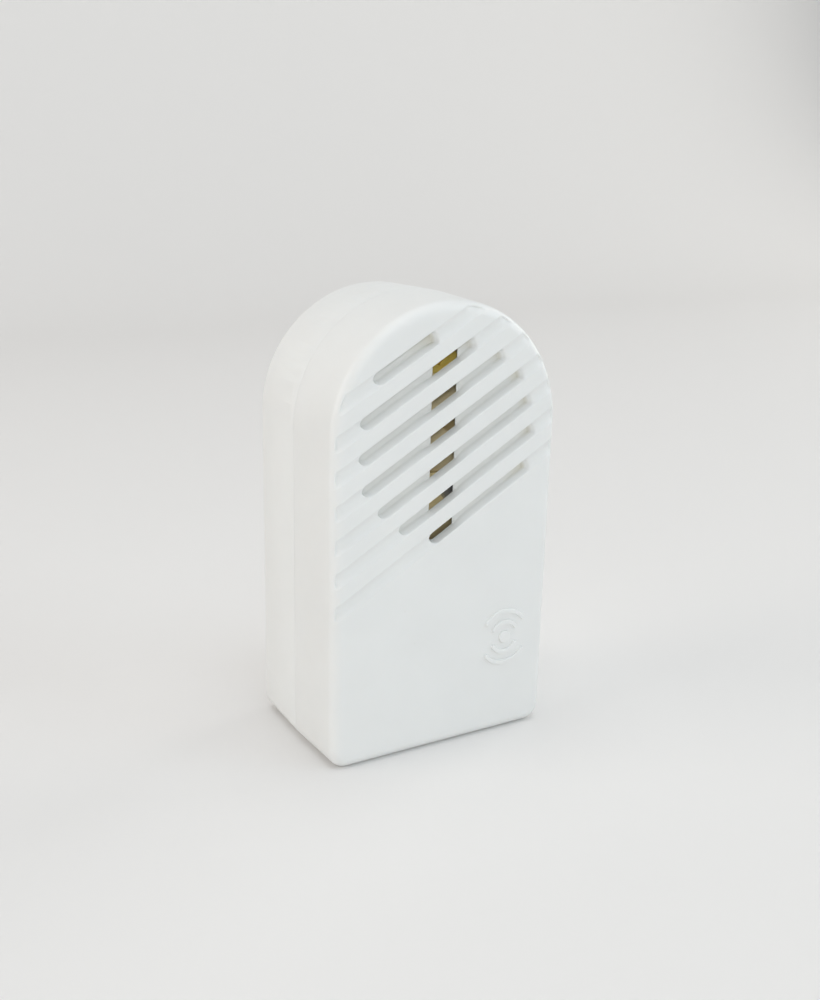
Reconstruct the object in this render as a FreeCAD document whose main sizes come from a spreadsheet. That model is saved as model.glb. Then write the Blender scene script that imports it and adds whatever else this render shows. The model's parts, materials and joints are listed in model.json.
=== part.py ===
"""Electric door buzzer: a white two-shell case with a vibrating-reed buzzer inside.

X runs to the right, the fluted front faces -Y and +Z is up. The origin is the middle of the
bottom, where the case stands. The seam between the two shells lies in the plane y = 0.
"""
import FreeCAD, Part
import math
import os
import re
import Sketcher

from FreeCAD import Placement, Rotation, Vector

# Driving sizes in millimetres, angles in degrees.
SIZES = {
    # outer shells
    "case_height": 80.0,
    "seam_width": 44.5,
    "cover_depth": 14.0,
    "case_depth": 14.4,
    "draft_inset": 0.4,
    "corner_radius": 3.2,
    "front_edge_radius": 2.0,
    "back_edge_radius": 0.8,
    "side_wall": 2.0,
    "front_wall": 3.2,
    "back_wall": 2.0,
    "lip_thickness": 0.9,
    "lip_height": 1.6,
    "fit_gap": 0.1,
    "screw_clearance": 0.2,
    "pad_gap": 0.3,
    # grille of the cover
    "flute_count": 7,
    "flute_pitch": 5.0,
    "flute_angle": 30.0,
    "flute_radius": 2.2,
    "flute_depth": 0.6,
    "flute_shift": 0.5,
    "slot_width": 2.2,
    "slot_depth": 1.7,
    "slot_circle_radius": 17.6,
    "slot_circle_drop": 1.1,
    "slit_width": 6.0,
    "slit_roof": 1.5,
    "slit_rise": 15.3,
    "slit_drop": 20.0,
    # raised emblem, a dot between sound rings
    "emblem_right": 12.7,
    "emblem_up": 18.6,
    "emblem_relief": 0.4,
    "emblem_dot_radius": 1.2,
    "emblem_ring_width": 0.9,
    "emblem_ring_step": 2.1,
    "emblem_ring_count": 2,
    "emblem_gap_start": 1.44,
    "emblem_gap_angle": 45.0,
    # holes for fixing to the wall and for the cable
    "wall_hole_spacing": 29.0,
    "wall_hole_up": 32.0,
    "wall_hole_radius": 2.2,
    "cable_hole_radius": 5.0,
    "cable_hole_up": 30.5,
    "grommet_flange_radius": 6.2,
    "grommet_bore_radius": 3.2,
    "grommet_flange_thickness": 1.0,
    "grommet_seat_depth": 0.9,
    # screw that holds the cover
    "cover_screw_setback": 4.0,
    "cover_screw_radius": 1.45,
    "cover_screw_length": 8.0,
    "cover_screw_head_radius": 2.7,
    "cover_screw_head_height": 1.2,
    "screw_pad_half_width": 6.0,
    "screw_pad_height": 3.0,
    "screw_boss_half_width": 5.0,
    "screw_boss_top": 9.0,
    "screw_boss_back": 6.0,
    "screw_boss_setback": 0.5,
    "cover_nut_width": 5.5,
    "cover_nut_thickness": 1.8,
    "cover_nut_up": 5.3,
    # steel bracket that carries the works
    "sheet_thickness": 1.2,
    "boss_height": 2.0,
    "boss_radius": 3.0,
    "boss_hole_depth": 3.3,
    "plate_half_width": 9.0,
    "plate_drop": 21.75,
    "lower_screw_right": 11.0,
    "lower_screw_drop": 13.75,
    "upper_screw_inset": 4.6,
    "upper_screw_angle": 57.0,
    "screw_land": 2.6,
    "leg_half_width": 6.0,
    "leg_crown_gap": 2.8,
    "middle_land": 4.0,
    "frame_screw_radius": 1.2,
    "frame_screw_length": 4.0,
    "frame_screw_head_radius": 2.5,
    "frame_screw_head_height": 1.6,
    "thread_gap": 0.05,
    "driver_slot_width": 0.6,
    "driver_slot_depth": 0.7,
    # laminated core
    "core_half_width": 15.0,
    "core_back": 4.0,
    "core_limb_half_width": 3.5,
    "core_outer_limb": 3.5,
    "lamination_count": 10,
    "lamination_pitch": 0.8,
    "lamination_gap": 0.03,
    "air_gap": 0.8,
    "core_rivet_radius": 0.95,
    "core_rivet_head_radius": 1.6,
    "core_rivet_head_height": 0.8,
    # coil
    "bobbin_wall": 1.0,
    "bobbin_flange": 1.0,
    "bobbin_half_width": 11.2,
    "bobbin_half_height": 10.0,
    "bobbin_gap": 0.1,
    "bobbin_end_gap": 0.3,
    "ledge_height": 2.2,
    "ledge_depth": 2.4,
    "ledge_half_width": 9.0,
    "winding_margin": 1.1,
    "winding_corner": 2.6,
    "tape_thickness": 0.2,
    "tape_margin": 1.2,
    "pin_radius": 0.35,
    "pin_length": 3.6,
    "pin_right": 7.1,
    "lead_radius": 0.5,
    "lead_bend_radius": 3.0,
    "lead_drop": 7.5,
    "lead_rise": 3.6,
    # reed and armature
    "reed_setback": 3.4,
    "reed_thickness": 0.4,
    "reed_half_width": 6.0,
    "reed_tail": 3.2,
    "reed_tip": 2.6,
    "clamp_drop": 11.75,
    "clamp_half_height": 3.5,
    "clamp_thickness": 1.0,
    "clamp_gap": 0.1,
    "clamp_screw_right": 3.6,
    "clamp_screw_radius": 1.2,
    "clamp_screw_head_radius": 1.9,
    "clamp_screw_head_height": 1.2,
    "clamp_screw_reach": 0.5,
    "armature_thickness": 1.2,
    "armature_rivet_right": 3.4,
    "armature_rivet_radius": 0.9,
    "armature_rivet_head_radius": 1.3,
    "armature_rivet_head_height": 0.5,
    # screw that sets the tone
    "adjust_drop": 5.2,
    "adjust_radius": 1.45,
    "adjust_tab_gap": 0.6,
    "adjust_tab_drop": 3.6,
    "adjust_contact_gap": 0.05,
    "adjust_stub": 0.4,
    "lock_nut_width": 5.5,
    "lock_nut_thickness": 1.0,
    # terminal block
    "block_half_width": 10.4,
    "block_height": 12.0,
    "block_up": 12.0,
    "block_depth": 8.0,
    "block_seat": 2.0,
    "block_corner": 0.8,
    "terminal_right": 5.2,
    "clamp_body_width": 5.0,
    "clamp_body_height": 9.6,
    "clamp_body_depth": 5.2,
    "clamp_body_gap": 0.1,
    "clamp_wire_radius": 1.4,
    "terminal_face": 1.4,
    "terminal_screw_radius": 1.25,
    "terminal_screw_length": 3.2,
    "terminal_screw_head_radius": 1.8,
    "terminal_screw_head_height": 1.2,
    "terminal_access_radius": 2.0,
    "block_screw_radius": 1.2,
    "block_screw_head_radius": 1.8,
    "block_screw_head_height": 1.2,
    "block_sink": 2.4,
    # how far each screw's driver slot is turned from level
    "upper_right_turn": 20.0,
    "upper_left_turn": 75.0,
    "lower_right_turn": 130.0,
    "lower_left_turn": 50.0,
    "clamp_right_turn": 60.0,
    "clamp_left_turn": 15.0,
    "adjust_turn": 115.0,
    "terminal_right_turn": 100.0,
    "terminal_left_turn": 25.0,
    "block_screw_turn": 35.0,
}

# Places worked out from the driving sizes, each a formula in their names.
PLACES = {
    "arch_centre": "case_height - seam_width / 2",
    "inner_radius": "seam_width / 2 - side_wall",
    "cavity_back": "case_depth - back_wall",
    "cavity_front": "front_wall - cover_depth",
    "flute_rise": "flute_pitch / cos(flute_angle)",
    "flute_reach": "seam_width / cos(flute_angle)",
    "grille_middle": "arch_centre + flute_shift / cos(flute_angle)",
    "slot_circle_offset": "flute_shift + slot_circle_drop",
    "emblem_reach": "2 * (emblem_dot_radius + emblem_ring_count * emblem_ring_step)",
    "frame_back": "cavity_back - boss_height",
    "frame_front": "frame_back - sheet_thickness",
    "coil_centre": "arch_centre",
    "upper_screw_right": "(inner_radius - upper_screw_inset) * cos(upper_screw_angle)",
    "upper_screw_up": "arch_centre + (inner_radius - upper_screw_inset) * sin(upper_screw_angle)",
    "lower_screw_up": "coil_centre - lower_screw_drop",
    "plate_bottom": "coil_centre - plate_drop",
    "leg_top": "arch_centre + inner_radius - leg_crown_gap",
    "stack_half": "lamination_count * lamination_pitch / 2",
    "reed_front": "cavity_front + reed_setback",
    "reed_back": "reed_front + reed_thickness",
    "pole_face": "reed_back + armature_thickness + air_gap",
    "window_back": "frame_front - core_back",
    "window_outer": "core_half_width - core_outer_limb",
    "core_rivet_right": "core_half_width - core_outer_limb / 2",
    "core_rivet_back": "frame_front - core_back / 2",
    "bobbin_front": "pole_face + bobbin_end_gap",
    "bobbin_back": "window_back - bobbin_gap",
    "tube_half_width": "core_limb_half_width + bobbin_gap + bobbin_wall",
    "tube_half_height": "stack_half + bobbin_gap + bobbin_wall",
    "winding_front": "bobbin_front + bobbin_flange + thread_gap",
    "winding_back": "bobbin_back - bobbin_flange - thread_gap",
    "winding_half_width": "bobbin_half_width - winding_margin",
    "winding_half_height": "bobbin_half_height - winding_margin",
    "ledge_bottom": "coil_centre - bobbin_half_height - ledge_height",
    "pin_back": "bobbin_back - ledge_depth / 2",
    "pin_bottom": "ledge_bottom - pin_length / 2",
    "clamp_up": "coil_centre - clamp_drop",
    "reed_seat": "reed_back + clamp_gap",
    "clamp_back": "reed_front - clamp_gap",
    "clamp_front": "clamp_back - clamp_thickness",
    "adjust_up": "leg_top - adjust_drop",
    "tab_back": "reed_front - adjust_tab_gap",
    "tab_front": "tab_back - sheet_thickness",
    "lock_nut_front": "tab_front - lock_nut_thickness",
    "cover_screw_front": "0 - cover_screw_setback",
    "block_back": "cavity_back - block_seat",
    "block_front": "block_back - block_depth",
    "block_top": "block_up + block_height",
    "block_middle": "block_up + block_height / 2",
    "terminal_hole_front": "block_front + terminal_face",
    "clamp_body_front": "terminal_hole_front + clamp_body_gap",
    "clamp_body_middle": "clamp_body_front + clamp_body_depth / 2",
    "clamp_body_up": "block_top - clamp_body_height - clamp_body_gap",
}

ALONG_X = Rotation(Vector(0, 1, 0), 90)
ALONG_Y_BACK = Rotation(Vector(1, 0, 0), -90)
ALONG_Y_FRONT = Rotation(Vector(1, 0, 0), 90)
SMALL = 1e-6
NUT_SIDES = 6

doc = FreeCAD.newDocument("door_buzzer")
sizes = doc.addObject("Spreadsheet::Sheet", "Sizes")
for row, (alias, value) in enumerate(SIZES.items(), start=1):
    sizes.set(f"A{row}", alias)
    sizes.set(f"B{row}", str(value))
    sizes.setAlias(f"B{row}", alias)
doc.recompute()


def formula(text):
    """Spell a formula out until it names nothing but cells of the sheet."""
    def spell(match):
        word = match.group(0)
        if word in PLACES:
            return f"({formula(PLACES[word])})"
        if word in SIZES:
            return f"Sizes.{word}"
        return word
    return re.sub(r"[a-z_]+", spell, str(text))


def number(text):
    """Value of a formula, for a sketch's first shape and for wires."""
    return float(sizes.evalExpression(formula(text)))


def bind(feature, **formulas):
    """Tie properties of a feature to the sheet. An x, y, z or turn ties its placement."""
    paths = {"x": "Placement.Base.x", "y": "Placement.Base.y", "z": "Placement.Base.z",
             "turn": "Placement.Rotation.Angle"}
    for name, text in formulas.items():
        feature.setExpression(paths.get(name, name), formula(text))
    return feature


def new_body(name):
    """Start a sub-part that is made from features."""
    part = doc.addObject("PartDesign::Body", name)
    part.Label = name
    return part


def origin_feature(part, role):
    """Plane or axis of a body's own origin."""
    return [item for item in part.Origin.OriginFeatures if item.Role == role][0]


def body_box(part, kind, name, x, y, z):
    """Box from three pairs of formulas, low and high along each axis; kind is Additive or Subtractive."""
    feature = part.newObject(f"PartDesign::{kind}Box", name)
    bind(feature, x=x[0], y=y[0], z=z[0], Length=f"({x[1]}) - ({x[0]})",
         Width=f"({y[1]}) - ({y[0]})", Height=f"({z[1]}) - ({z[0]})")
    return feature


def body_rod(part, kind, name, radius, x, y, z):
    """Round rod along the one axis that is given as a pair; kind is Additive or Subtractive."""
    feature = part.newObject(f"PartDesign::{kind}Cylinder", name)
    place_rod(feature, radius, x, y, z)
    return feature


def place_rod(feature, radius, x, y, z):
    """Stand a cylinder along the one axis that is given as a pair of formulas."""
    low_high = [pair for pair in (x, y, z) if isinstance(pair, tuple)][0]
    if isinstance(y, tuple):
        feature.Placement = Placement(Vector(), ALONG_Y_BACK)
    if isinstance(x, tuple):
        feature.Placement = Placement(Vector(), ALONG_X)
    starts = [pair[0] if isinstance(pair, tuple) else pair for pair in (x, y, z)]
    bind(feature, Radius=radius, Height=f"({low_high[1]}) - ({low_high[0]})",
         x=starts[0], y=starts[1], z=starts[2])


def new_sketch(part, name, plane, **offsets):
    """Sketch on one of the body's origin planes, moved along it or off it by formulas."""
    sketch = part.newObject("Sketcher::SketchObject", name)
    sketch.AttachmentSupport = [(origin_feature(part, plane), "")]
    sketch.MapMode = "FlatFace"
    for axis, text in offsets.items():
        path = "Rotation.Angle" if axis == "turn" else f"Base.{axis}"
        sketch.setExpression(f"AttachmentOffset.{path}", formula(text))
    return sketch


def fix_length(sketch, kind, first, second, text):
    """Distance or radius constraint whose value follows a formula."""
    points = [*first, *second, number(text)]
    index = sketch.addConstraint(Sketcher.Constraint(kind, *points))
    sketch.setExpression(f"Constraints[{index}]", formula(text))


def polygon(sketch, points):
    """Closed outline through corners that are given as pairs of formulas."""
    values = [Vector(number(u), number(v), 0) for u, v in points]
    count = len(points)
    base = sketch.GeometryCount
    for index in range(count):
        sketch.addGeometry(Part.LineSegment(values[index], values[(index + 1) % count]))
    for index in range(count):
        following = base + (index + 1) % count
        sketch.addConstraint(Sketcher.Constraint("Coincident", base + index, 2, following, 1))
    for index, (u, v) in enumerate(points):
        fix_length(sketch, "DistanceX", (-1, 1), (base + index, 1), u)
        fix_length(sketch, "DistanceY", (-1, 1), (base + index, 1), v)


def circle(sketch, u, v, radius):
    """Circle round a point given by formulas."""
    centre = Vector(number(u), number(v), 0)
    index = sketch.addGeometry(Part.Circle(centre, Vector(0, 0, 1), number(radius)))
    fix_length(sketch, "DistanceX", (-1, 1), (index, 3), u)
    fix_length(sketch, "DistanceY", (-1, 1), (index, 3), v)
    fix_length(sketch, "Radius", (index,), (), radius)


def join_tangent(sketch, pairs):
    """Join ends of lines and arcs smoothly."""
    for first, first_end, second, second_end in pairs:
        sketch.addConstraint(Sketcher.Constraint("Tangent", first, first_end, second, second_end))


def arc(centre_u, centre_v, radius, start, end):
    """Arc between two angles in degrees."""
    whole = Part.Circle(Vector(centre_u, centre_v, 0), Vector(0, 0, 1), radius)
    return Part.ArcOfCircle(whole, math.radians(start), math.radians(end))


def arch_outline(sketch, inset):
    """Outline of the case at the seam, drawn in by inset: flat bottom, round corners, half-round top."""
    half = number(f"seam_width / 2 - ({inset})")
    low = number(inset)
    top = number("arch_centre")
    corner_text = f"corner_radius - ({inset}) / 2"
    corner = number(corner_text)
    base = sketch.GeometryCount
    bottom, right_corner, right, crown, left, left_corner = range(base, base + 6)
    sketch.addGeometry(Part.LineSegment(Vector(corner - half, low, 0), Vector(half - corner, low, 0)))
    sketch.addGeometry(arc(half - corner, low + corner, corner, 270, 360))
    sketch.addGeometry(Part.LineSegment(Vector(half, low + corner, 0), Vector(half, top, 0)))
    sketch.addGeometry(arc(0, top, half, 0, 180))
    sketch.addGeometry(Part.LineSegment(Vector(-half, top, 0), Vector(-half, low + corner, 0)))
    sketch.addGeometry(arc(corner - half, low + corner, corner, 180, 270))
    join_tangent(sketch, [(bottom, 2, right_corner, 1), (right_corner, 2, right, 1), (right, 2, crown, 1),
                          (crown, 2, left, 1), (left, 2, left_corner, 1), (left_corner, 2, bottom, 1)])
    sketch.addConstraint(Sketcher.Constraint("Horizontal", bottom))
    sketch.addConstraint(Sketcher.Constraint("Vertical", right))
    sketch.addConstraint(Sketcher.Constraint("Vertical", left))
    fix_length(sketch, "DistanceX", (-1, 1), (crown, 3), "0")
    fix_length(sketch, "DistanceY", (-1, 1), (crown, 3), "arch_centre")
    fix_length(sketch, "Radius", (crown,), (), f"seam_width / 2 - ({inset})")
    fix_length(sketch, "DistanceY", (-1, 1), (bottom, 1), inset)
    fix_length(sketch, "Radius", (right_corner,), (), corner_text)
    fix_length(sketch, "Radius", (left_corner,), (), corner_text)


def rounded_rectangle(sketch, half_width, half_height, middle_up, radius):
    """Rectangle about the line u = 0 with equal round corners."""
    half = number(half_width)
    rise = number(half_height)
    middle = number(middle_up)
    corner = number(radius)
    base = sketch.GeometryCount
    lines = [base, base + 2, base + 4, base + 6]
    arcs = [base + 1, base + 3, base + 5, base + 7]
    low, high = middle - rise, middle + rise
    flat_u, flat_low, flat_high = half - corner, low + corner, high - corner
    sketch.addGeometry(Part.LineSegment(Vector(-flat_u, low, 0), Vector(flat_u, low, 0)))
    sketch.addGeometry(arc(flat_u, flat_low, corner, 270, 360))
    sketch.addGeometry(Part.LineSegment(Vector(half, flat_low, 0), Vector(half, flat_high, 0)))
    sketch.addGeometry(arc(flat_u, flat_high, corner, 0, 90))
    sketch.addGeometry(Part.LineSegment(Vector(flat_u, high, 0), Vector(-flat_u, high, 0)))
    sketch.addGeometry(arc(-flat_u, flat_high, corner, 90, 180))
    sketch.addGeometry(Part.LineSegment(Vector(-half, flat_high, 0), Vector(-half, flat_low, 0)))
    sketch.addGeometry(arc(-flat_u, flat_low, corner, 180, 270))
    ring = list(range(base, base + 8))
    join_tangent(sketch, [(first, 2, second, 1) for first, second in zip(ring, ring[1:] + ring[:1])])
    for index, kind in zip(lines, ("Horizontal", "Vertical", "Horizontal", "Vertical")):
        sketch.addConstraint(Sketcher.Constraint(kind, index))
    for index in arcs:
        fix_length(sketch, "Radius", (index,), (), radius)
    fix_length(sketch, "DistanceY", (-1, 1), (lines[0], 1), f"({middle_up}) - ({half_height})")
    fix_length(sketch, "DistanceX", (-1, 1), (lines[1], 1), half_width)
    fix_length(sketch, "DistanceY", (-1, 1), (lines[2], 1), f"({middle_up}) + ({half_height})")
    fix_length(sketch, "DistanceX", (-1, 1), (lines[3], 1), f"0 - ({half_width})")


def long_hole(sketch, half_length, offset, radius):
    """Hole with round ends along the u direction, at the height given by offset."""
    reach = number(f"({half_length}) - ({radius})")
    level = number(offset)
    bend = number(radius)
    base = sketch.GeometryCount
    lower, right_end, upper, left_end = range(base, base + 4)
    sketch.addGeometry(Part.LineSegment(Vector(-reach, level - bend, 0), Vector(reach, level - bend, 0)))
    sketch.addGeometry(arc(reach, level, bend, -90, 90))
    sketch.addGeometry(Part.LineSegment(Vector(reach, level + bend, 0), Vector(-reach, level + bend, 0)))
    sketch.addGeometry(arc(-reach, level, bend, 90, 270))
    join_tangent(sketch, [(lower, 2, right_end, 1), (right_end, 2, upper, 1),
                          (upper, 2, left_end, 1), (left_end, 2, lower, 1)])
    fix_length(sketch, "DistanceX", (-1, 1), (right_end, 3), f"({half_length}) - ({radius})")
    fix_length(sketch, "DistanceX", (-1, 1), (left_end, 3), f"({radius}) - ({half_length})")
    fix_length(sketch, "DistanceY", (-1, 1), (right_end, 3), offset)
    fix_length(sketch, "DistanceY", (-1, 1), (left_end, 3), offset)
    fix_length(sketch, "Radius", (right_end,), (), radius)
    sketch.addConstraint(Sketcher.Constraint("Equal", right_end, left_end))


def pad(part, name, sketch, length, back=False):
    """Pad a sketch. On the upright plane a plain pad grows towards the front, and back turns it round."""
    feature = part.newObject("PartDesign::Pad", name)
    feature.Profile = sketch
    feature.Reversed = back
    bind(feature, Length=length)
    return feature


def pocket(part, name, sketch, length, front=False):
    """Pocket a sketch. On the upright plane it cuts towards the back, and front turns it round."""
    feature = part.newObject("PartDesign::Pocket", name)
    feature.Profile = sketch
    feature.Reversed = front
    bind(feature, Length=length)
    doc.recompute()
    before = part.getObject(name).BaseFeature.Shape.Volume
    if feature.Shape.Volume >= before:
        raise RuntimeError(f"{name} cuts nothing")
    return feature


def fillet(part, name, radius, wanted):
    """Round those edges of the body so far that the test picks out."""
    doc.recompute()
    base = part.Tip
    names = [f"Edge{index}" for index, edge in enumerate(base.Shape.Edges, start=1) if wanted(edge)]
    feature = part.newObject("PartDesign::Fillet", name)
    feature.Base = (base, names)
    bind(feature, Radius=radius)
    return feature


def ends(edge):
    """Lowest and highest y and z of an edge."""
    box = edge.BoundBox
    return box.YMin, box.YMax, box.ZMin, box.ZMax


def shell_block(part, back):
    """Solid outer block of one shell with its draft, from the seam to the front or the back."""
    sign = "" if back else "0 - "
    depth = "case_depth" if back else "cover_depth"
    far_half = "seam_width / 2 - draft_inset"
    plan = new_sketch(part, f"{part.Name}_plan", "XY_Plane")
    polygon(plan, [("0 - seam_width / 2", "0"), ("seam_width / 2", "0"),
                   (far_half, f"{sign}{depth}"), (f"0 - ({far_half})", f"{sign}{depth}")])
    pad(part, f"{part.Name}_sides", plan, "arch_centre")
    crown = part.newObject("PartDesign::AdditiveCone", f"{part.Name}_crown")
    crown.Placement = Placement(Vector(), ALONG_Y_BACK if back else ALONG_Y_FRONT)
    bind(crown, Radius1="seam_width / 2", Radius2=far_half, Height=depth, z="arch_centre")
    far = number(f"{sign}{depth}")
    span = abs(far)

    def is_corner(edge):
        y_low, y_high, z_low, z_high = ends(edge)
        return z_high < SMALL and abs(y_high - y_low - span) < SMALL

    def is_rim(edge):
        y_low, y_high, z_low, z_high = ends(edge)
        return abs(y_low - far) < SMALL and abs(y_high - far) < SMALL

    fillet(part, f"{part.Name}_corners", "corner_radius", is_corner)
    rim_radius = "back_edge_radius" if back else "front_edge_radius"
    fillet(part, f"{part.Name}_rim", rim_radius, is_rim)


def make_front_cover():
    """Front shell: fluted face, blind slots, slit behind them, emblem, and the notch for its screw."""
    part = new_body("front_cover")
    shell_block(part, back=False)
    cavity = new_sketch(part, "cover_cavity_outline", "XZ_Plane")
    arch_outline(cavity, "side_wall")
    pocket(part, "cover_cavity", cavity, "0 - cavity_front", front=True)
    rebate = new_sketch(part, "cover_rebate_outline", "XZ_Plane")
    arch_outline(rebate, "side_wall - lip_thickness - fit_gap")
    pocket(part, "cover_rebate", rebate, "lip_height + fit_gap", front=True)

    flute = part.newObject("PartDesign::SubtractiveCylinder", "flute")
    flute.Placement = Placement(Vector(), ALONG_X)
    lowest = "grille_middle - flute_rise * (flute_count - 1) / 2"
    bind(flute, Radius="flute_radius", Height="2 * flute_reach",
         x="0 - flute_reach * cos(flute_angle)", y="flute_depth - cover_depth - flute_radius",
         z=f"{lowest} - flute_reach * sin(flute_angle)", turn="90 - flute_angle")
    flutes = part.newObject("PartDesign::LinearPattern", "flutes")
    flutes.Originals = [flute]
    flutes.Direction = (origin_feature(part, "Z_Axis"), [""])
    bind(flutes, Length="flute_rise * (flute_count - 1)", Occurrences="flute_count")
    part.Tip = flutes

    slots = new_sketch(part, "slot_outlines", "XZ_Plane", z="cover_depth", turn="flute_angle",
                       y="grille_middle - slot_circle_offset / cos(flute_angle)")
    doc.recompute()
    for index in range(int(SIZES["flute_count"])):
        offset = f"slot_circle_offset + ({index} - (flute_count - 1) / 2) * flute_pitch"
        half_length = f"sqrt(slot_circle_radius ^ 2 - ({offset}) ^ 2)"
        long_hole(slots, half_length, offset, "slot_width / 2")
    pocket(part, "slots", slots, "slot_depth")

    body_box(part, "Subtractive", "slit", ("0 - slit_width / 2", "slit_width / 2"),
             ("slit_roof - cover_depth", "cavity_front + fit_gap"),
             ("arch_centre - slit_drop", "arch_centre + slit_rise"))

    emblem = new_sketch(part, "emblem_rings", "XZ_Plane", z="cover_depth - emblem_relief")
    doc.recompute()
    circle(emblem, "emblem_right", "emblem_up", "emblem_dot_radius")
    for index in range(int(SIZES["emblem_ring_count"])):
        inner = f"emblem_dot_radius + emblem_ring_step * {index + 1} - emblem_ring_width"
        circle(emblem, "emblem_right", "emblem_up", inner)
        circle(emblem, "emblem_right", "emblem_up", f"{inner} + emblem_ring_width")
    pad(part, "emblem", emblem, "emblem_relief * 2")
    spread = "emblem_reach * tan(emblem_gap_angle)"
    for side, sign in (("left", "-"), ("right", "+")):
        outline = f"emblem_gap_{side}_outline"
        wedge = new_sketch(part, outline, "XZ_Plane", z="cover_depth + emblem_relief")
        doc.recompute()
        near = f"emblem_right {sign} emblem_gap_start"
        far = f"emblem_right {sign} emblem_reach"
        polygon(wedge, [(near, "emblem_up"), (far, f"emblem_up + {spread}"),
                        (far, f"emblem_up - {spread}")])
        pocket(part, f"emblem_gap_{side}", wedge, "emblem_relief")

    screw_y = "cover_screw_front"
    body_box(part, "Additive", "screw_pad", ("0 - screw_pad_half_width", "screw_pad_half_width"),
             (f"{screw_y} - screw_boss_half_width", "0"), ("side_wall / 4", "screw_pad_height"))
    steps = [("shank", "cover_screw_radius", "screw_pad_height + fit_gap"),
             ("head", "cover_screw_head_radius", "cover_screw_head_height + screw_clearance")]
    for name, screw_radius, top in steps:
        radius = f"{screw_radius} + screw_clearance"
        body_rod(part, "Subtractive", f"{name}_hole", radius, "0", screw_y, ("0 - fit_gap", top))
        body_box(part, "Subtractive", f"{name}_notch", (f"0 - ({radius})", radius),
                 (screw_y, "fit_gap"), ("0 - fit_gap", top))
    return part


def make_rear_case():
    """Rear shell: lip, screw bosses, seats, wall screw holes, cable hole and the cover screw's boss."""
    part = new_body("rear_case")
    shell_block(part, back=True)
    lip = new_sketch(part, "case_lip_outline", "XZ_Plane")
    arch_outline(lip, "side_wall - lip_thickness")
    pad(part, "case_lip", lip, "lip_height")
    cavity = new_sketch(part, "case_cavity_outline", "XZ_Plane", z="lip_height")
    arch_outline(cavity, "side_wall")
    pocket(part, "case_cavity", cavity, "lip_height + cavity_back")

    gap_half = "screw_pad_half_width + pad_gap"
    body_box(part, "Subtractive", "lip_gap", (f"0 - ({gap_half})", gap_half),
             ("0 - lip_height - fit_gap", "0"), ("0", "2 * side_wall"))
    boss_front = "cover_screw_front - screw_boss_half_width + screw_boss_setback"
    boss_low = "screw_pad_height + pad_gap"
    body_box(part, "Additive", "screw_boss", ("0 - screw_boss_half_width", "screw_boss_half_width"),
             (boss_front, "screw_boss_back"), (boss_low, "screw_boss_top"))
    body_box(part, "Additive", "screw_boss_foot", ("0 - screw_boss_half_width", "screw_boss_half_width"),
             ("screw_clearance", "screw_boss_back"), ("side_wall / 2", f"{boss_low} + fit_gap"))
    nut_half = "cover_nut_width / 2 + fit_gap"
    body_box(part, "Subtractive", "nut_pocket", (f"0 - ({nut_half})", nut_half),
             (f"cover_screw_front - ({nut_half})", f"cover_screw_front + {nut_half}"),
             ("cover_nut_up - fit_gap", "screw_boss_top + fit_gap"))
    body_rod(part, "Subtractive", "cover_screw_hole", "cover_screw_radius + screw_clearance", "0",
             "cover_screw_front", ("side_wall", "cover_nut_up"))

    places = [("right", "upper_screw_right", "upper_screw_up"),
              ("left", "0 - upper_screw_right", "upper_screw_up"),
              ("low_right", "lower_screw_right", "lower_screw_up"),
              ("low_left", "0 - lower_screw_right", "lower_screw_up")]
    wall = "cavity_back + back_wall / 2"
    for name, x, z in places:
        body_rod(part, "Additive", f"boss_{name}", "boss_radius", x, ("frame_back", wall), z)
    body_box(part, "Additive", "block_pad", ("0 - block_half_width", "block_half_width"),
             ("block_back", wall), ("block_up", "block_top"))
    for name, x, z in places:
        body_rod(part, "Subtractive", f"boss_hole_{name}", "frame_screw_radius + thread_gap", x,
                 ("frame_back - fit_gap", "frame_back + boss_hole_depth"), z)
    body_rod(part, "Subtractive", "block_screw_hole", "block_screw_radius + thread_gap", "0",
             ("block_back - fit_gap", "block_back + boss_hole_depth"), "block_middle")

    through = ("cavity_back - fit_gap", "case_depth + fit_gap")
    for name, sign in (("right", ""), ("left", "0 - ")):
        body_rod(part, "Subtractive", f"wall_hole_{name}", "wall_hole_radius",
                 f"{sign}wall_hole_spacing / 2", through, "wall_hole_up")
    body_rod(part, "Subtractive", "cable_hole", "cable_hole_radius", "0", through, "cable_hole_up")
    body_rod(part, "Subtractive", "grommet_seat", "grommet_flange_radius + fit_gap", "0",
             ("case_depth - grommet_seat_depth", "case_depth + fit_gap"), "cable_hole_up")
    return part


def make_cable_grommet():
    """Rubber ring in the cable hole, with a flange on each side of the wall."""
    part = new_body("cable_grommet")
    up = "cable_hole_up"
    body_rod(part, "Additive", "inner_flange", "grommet_flange_radius", "0",
             ("cavity_back - grommet_flange_thickness", "cavity_back"), up)
    body_rod(part, "Additive", "neck", "cable_hole_radius - thread_gap", "0",
             ("cavity_back - grommet_flange_thickness", "case_depth - thread_gap"), up)
    body_rod(part, "Additive", "outer_flange", "grommet_flange_radius", "0",
             ("case_depth - grommet_seat_depth", "case_depth - thread_gap"), up)
    body_rod(part, "Subtractive", "bore", "grommet_bore_radius", "0",
             ("cavity_back - 2 * grommet_flange_thickness", "case_depth + fit_gap"), up)
    return part


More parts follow.
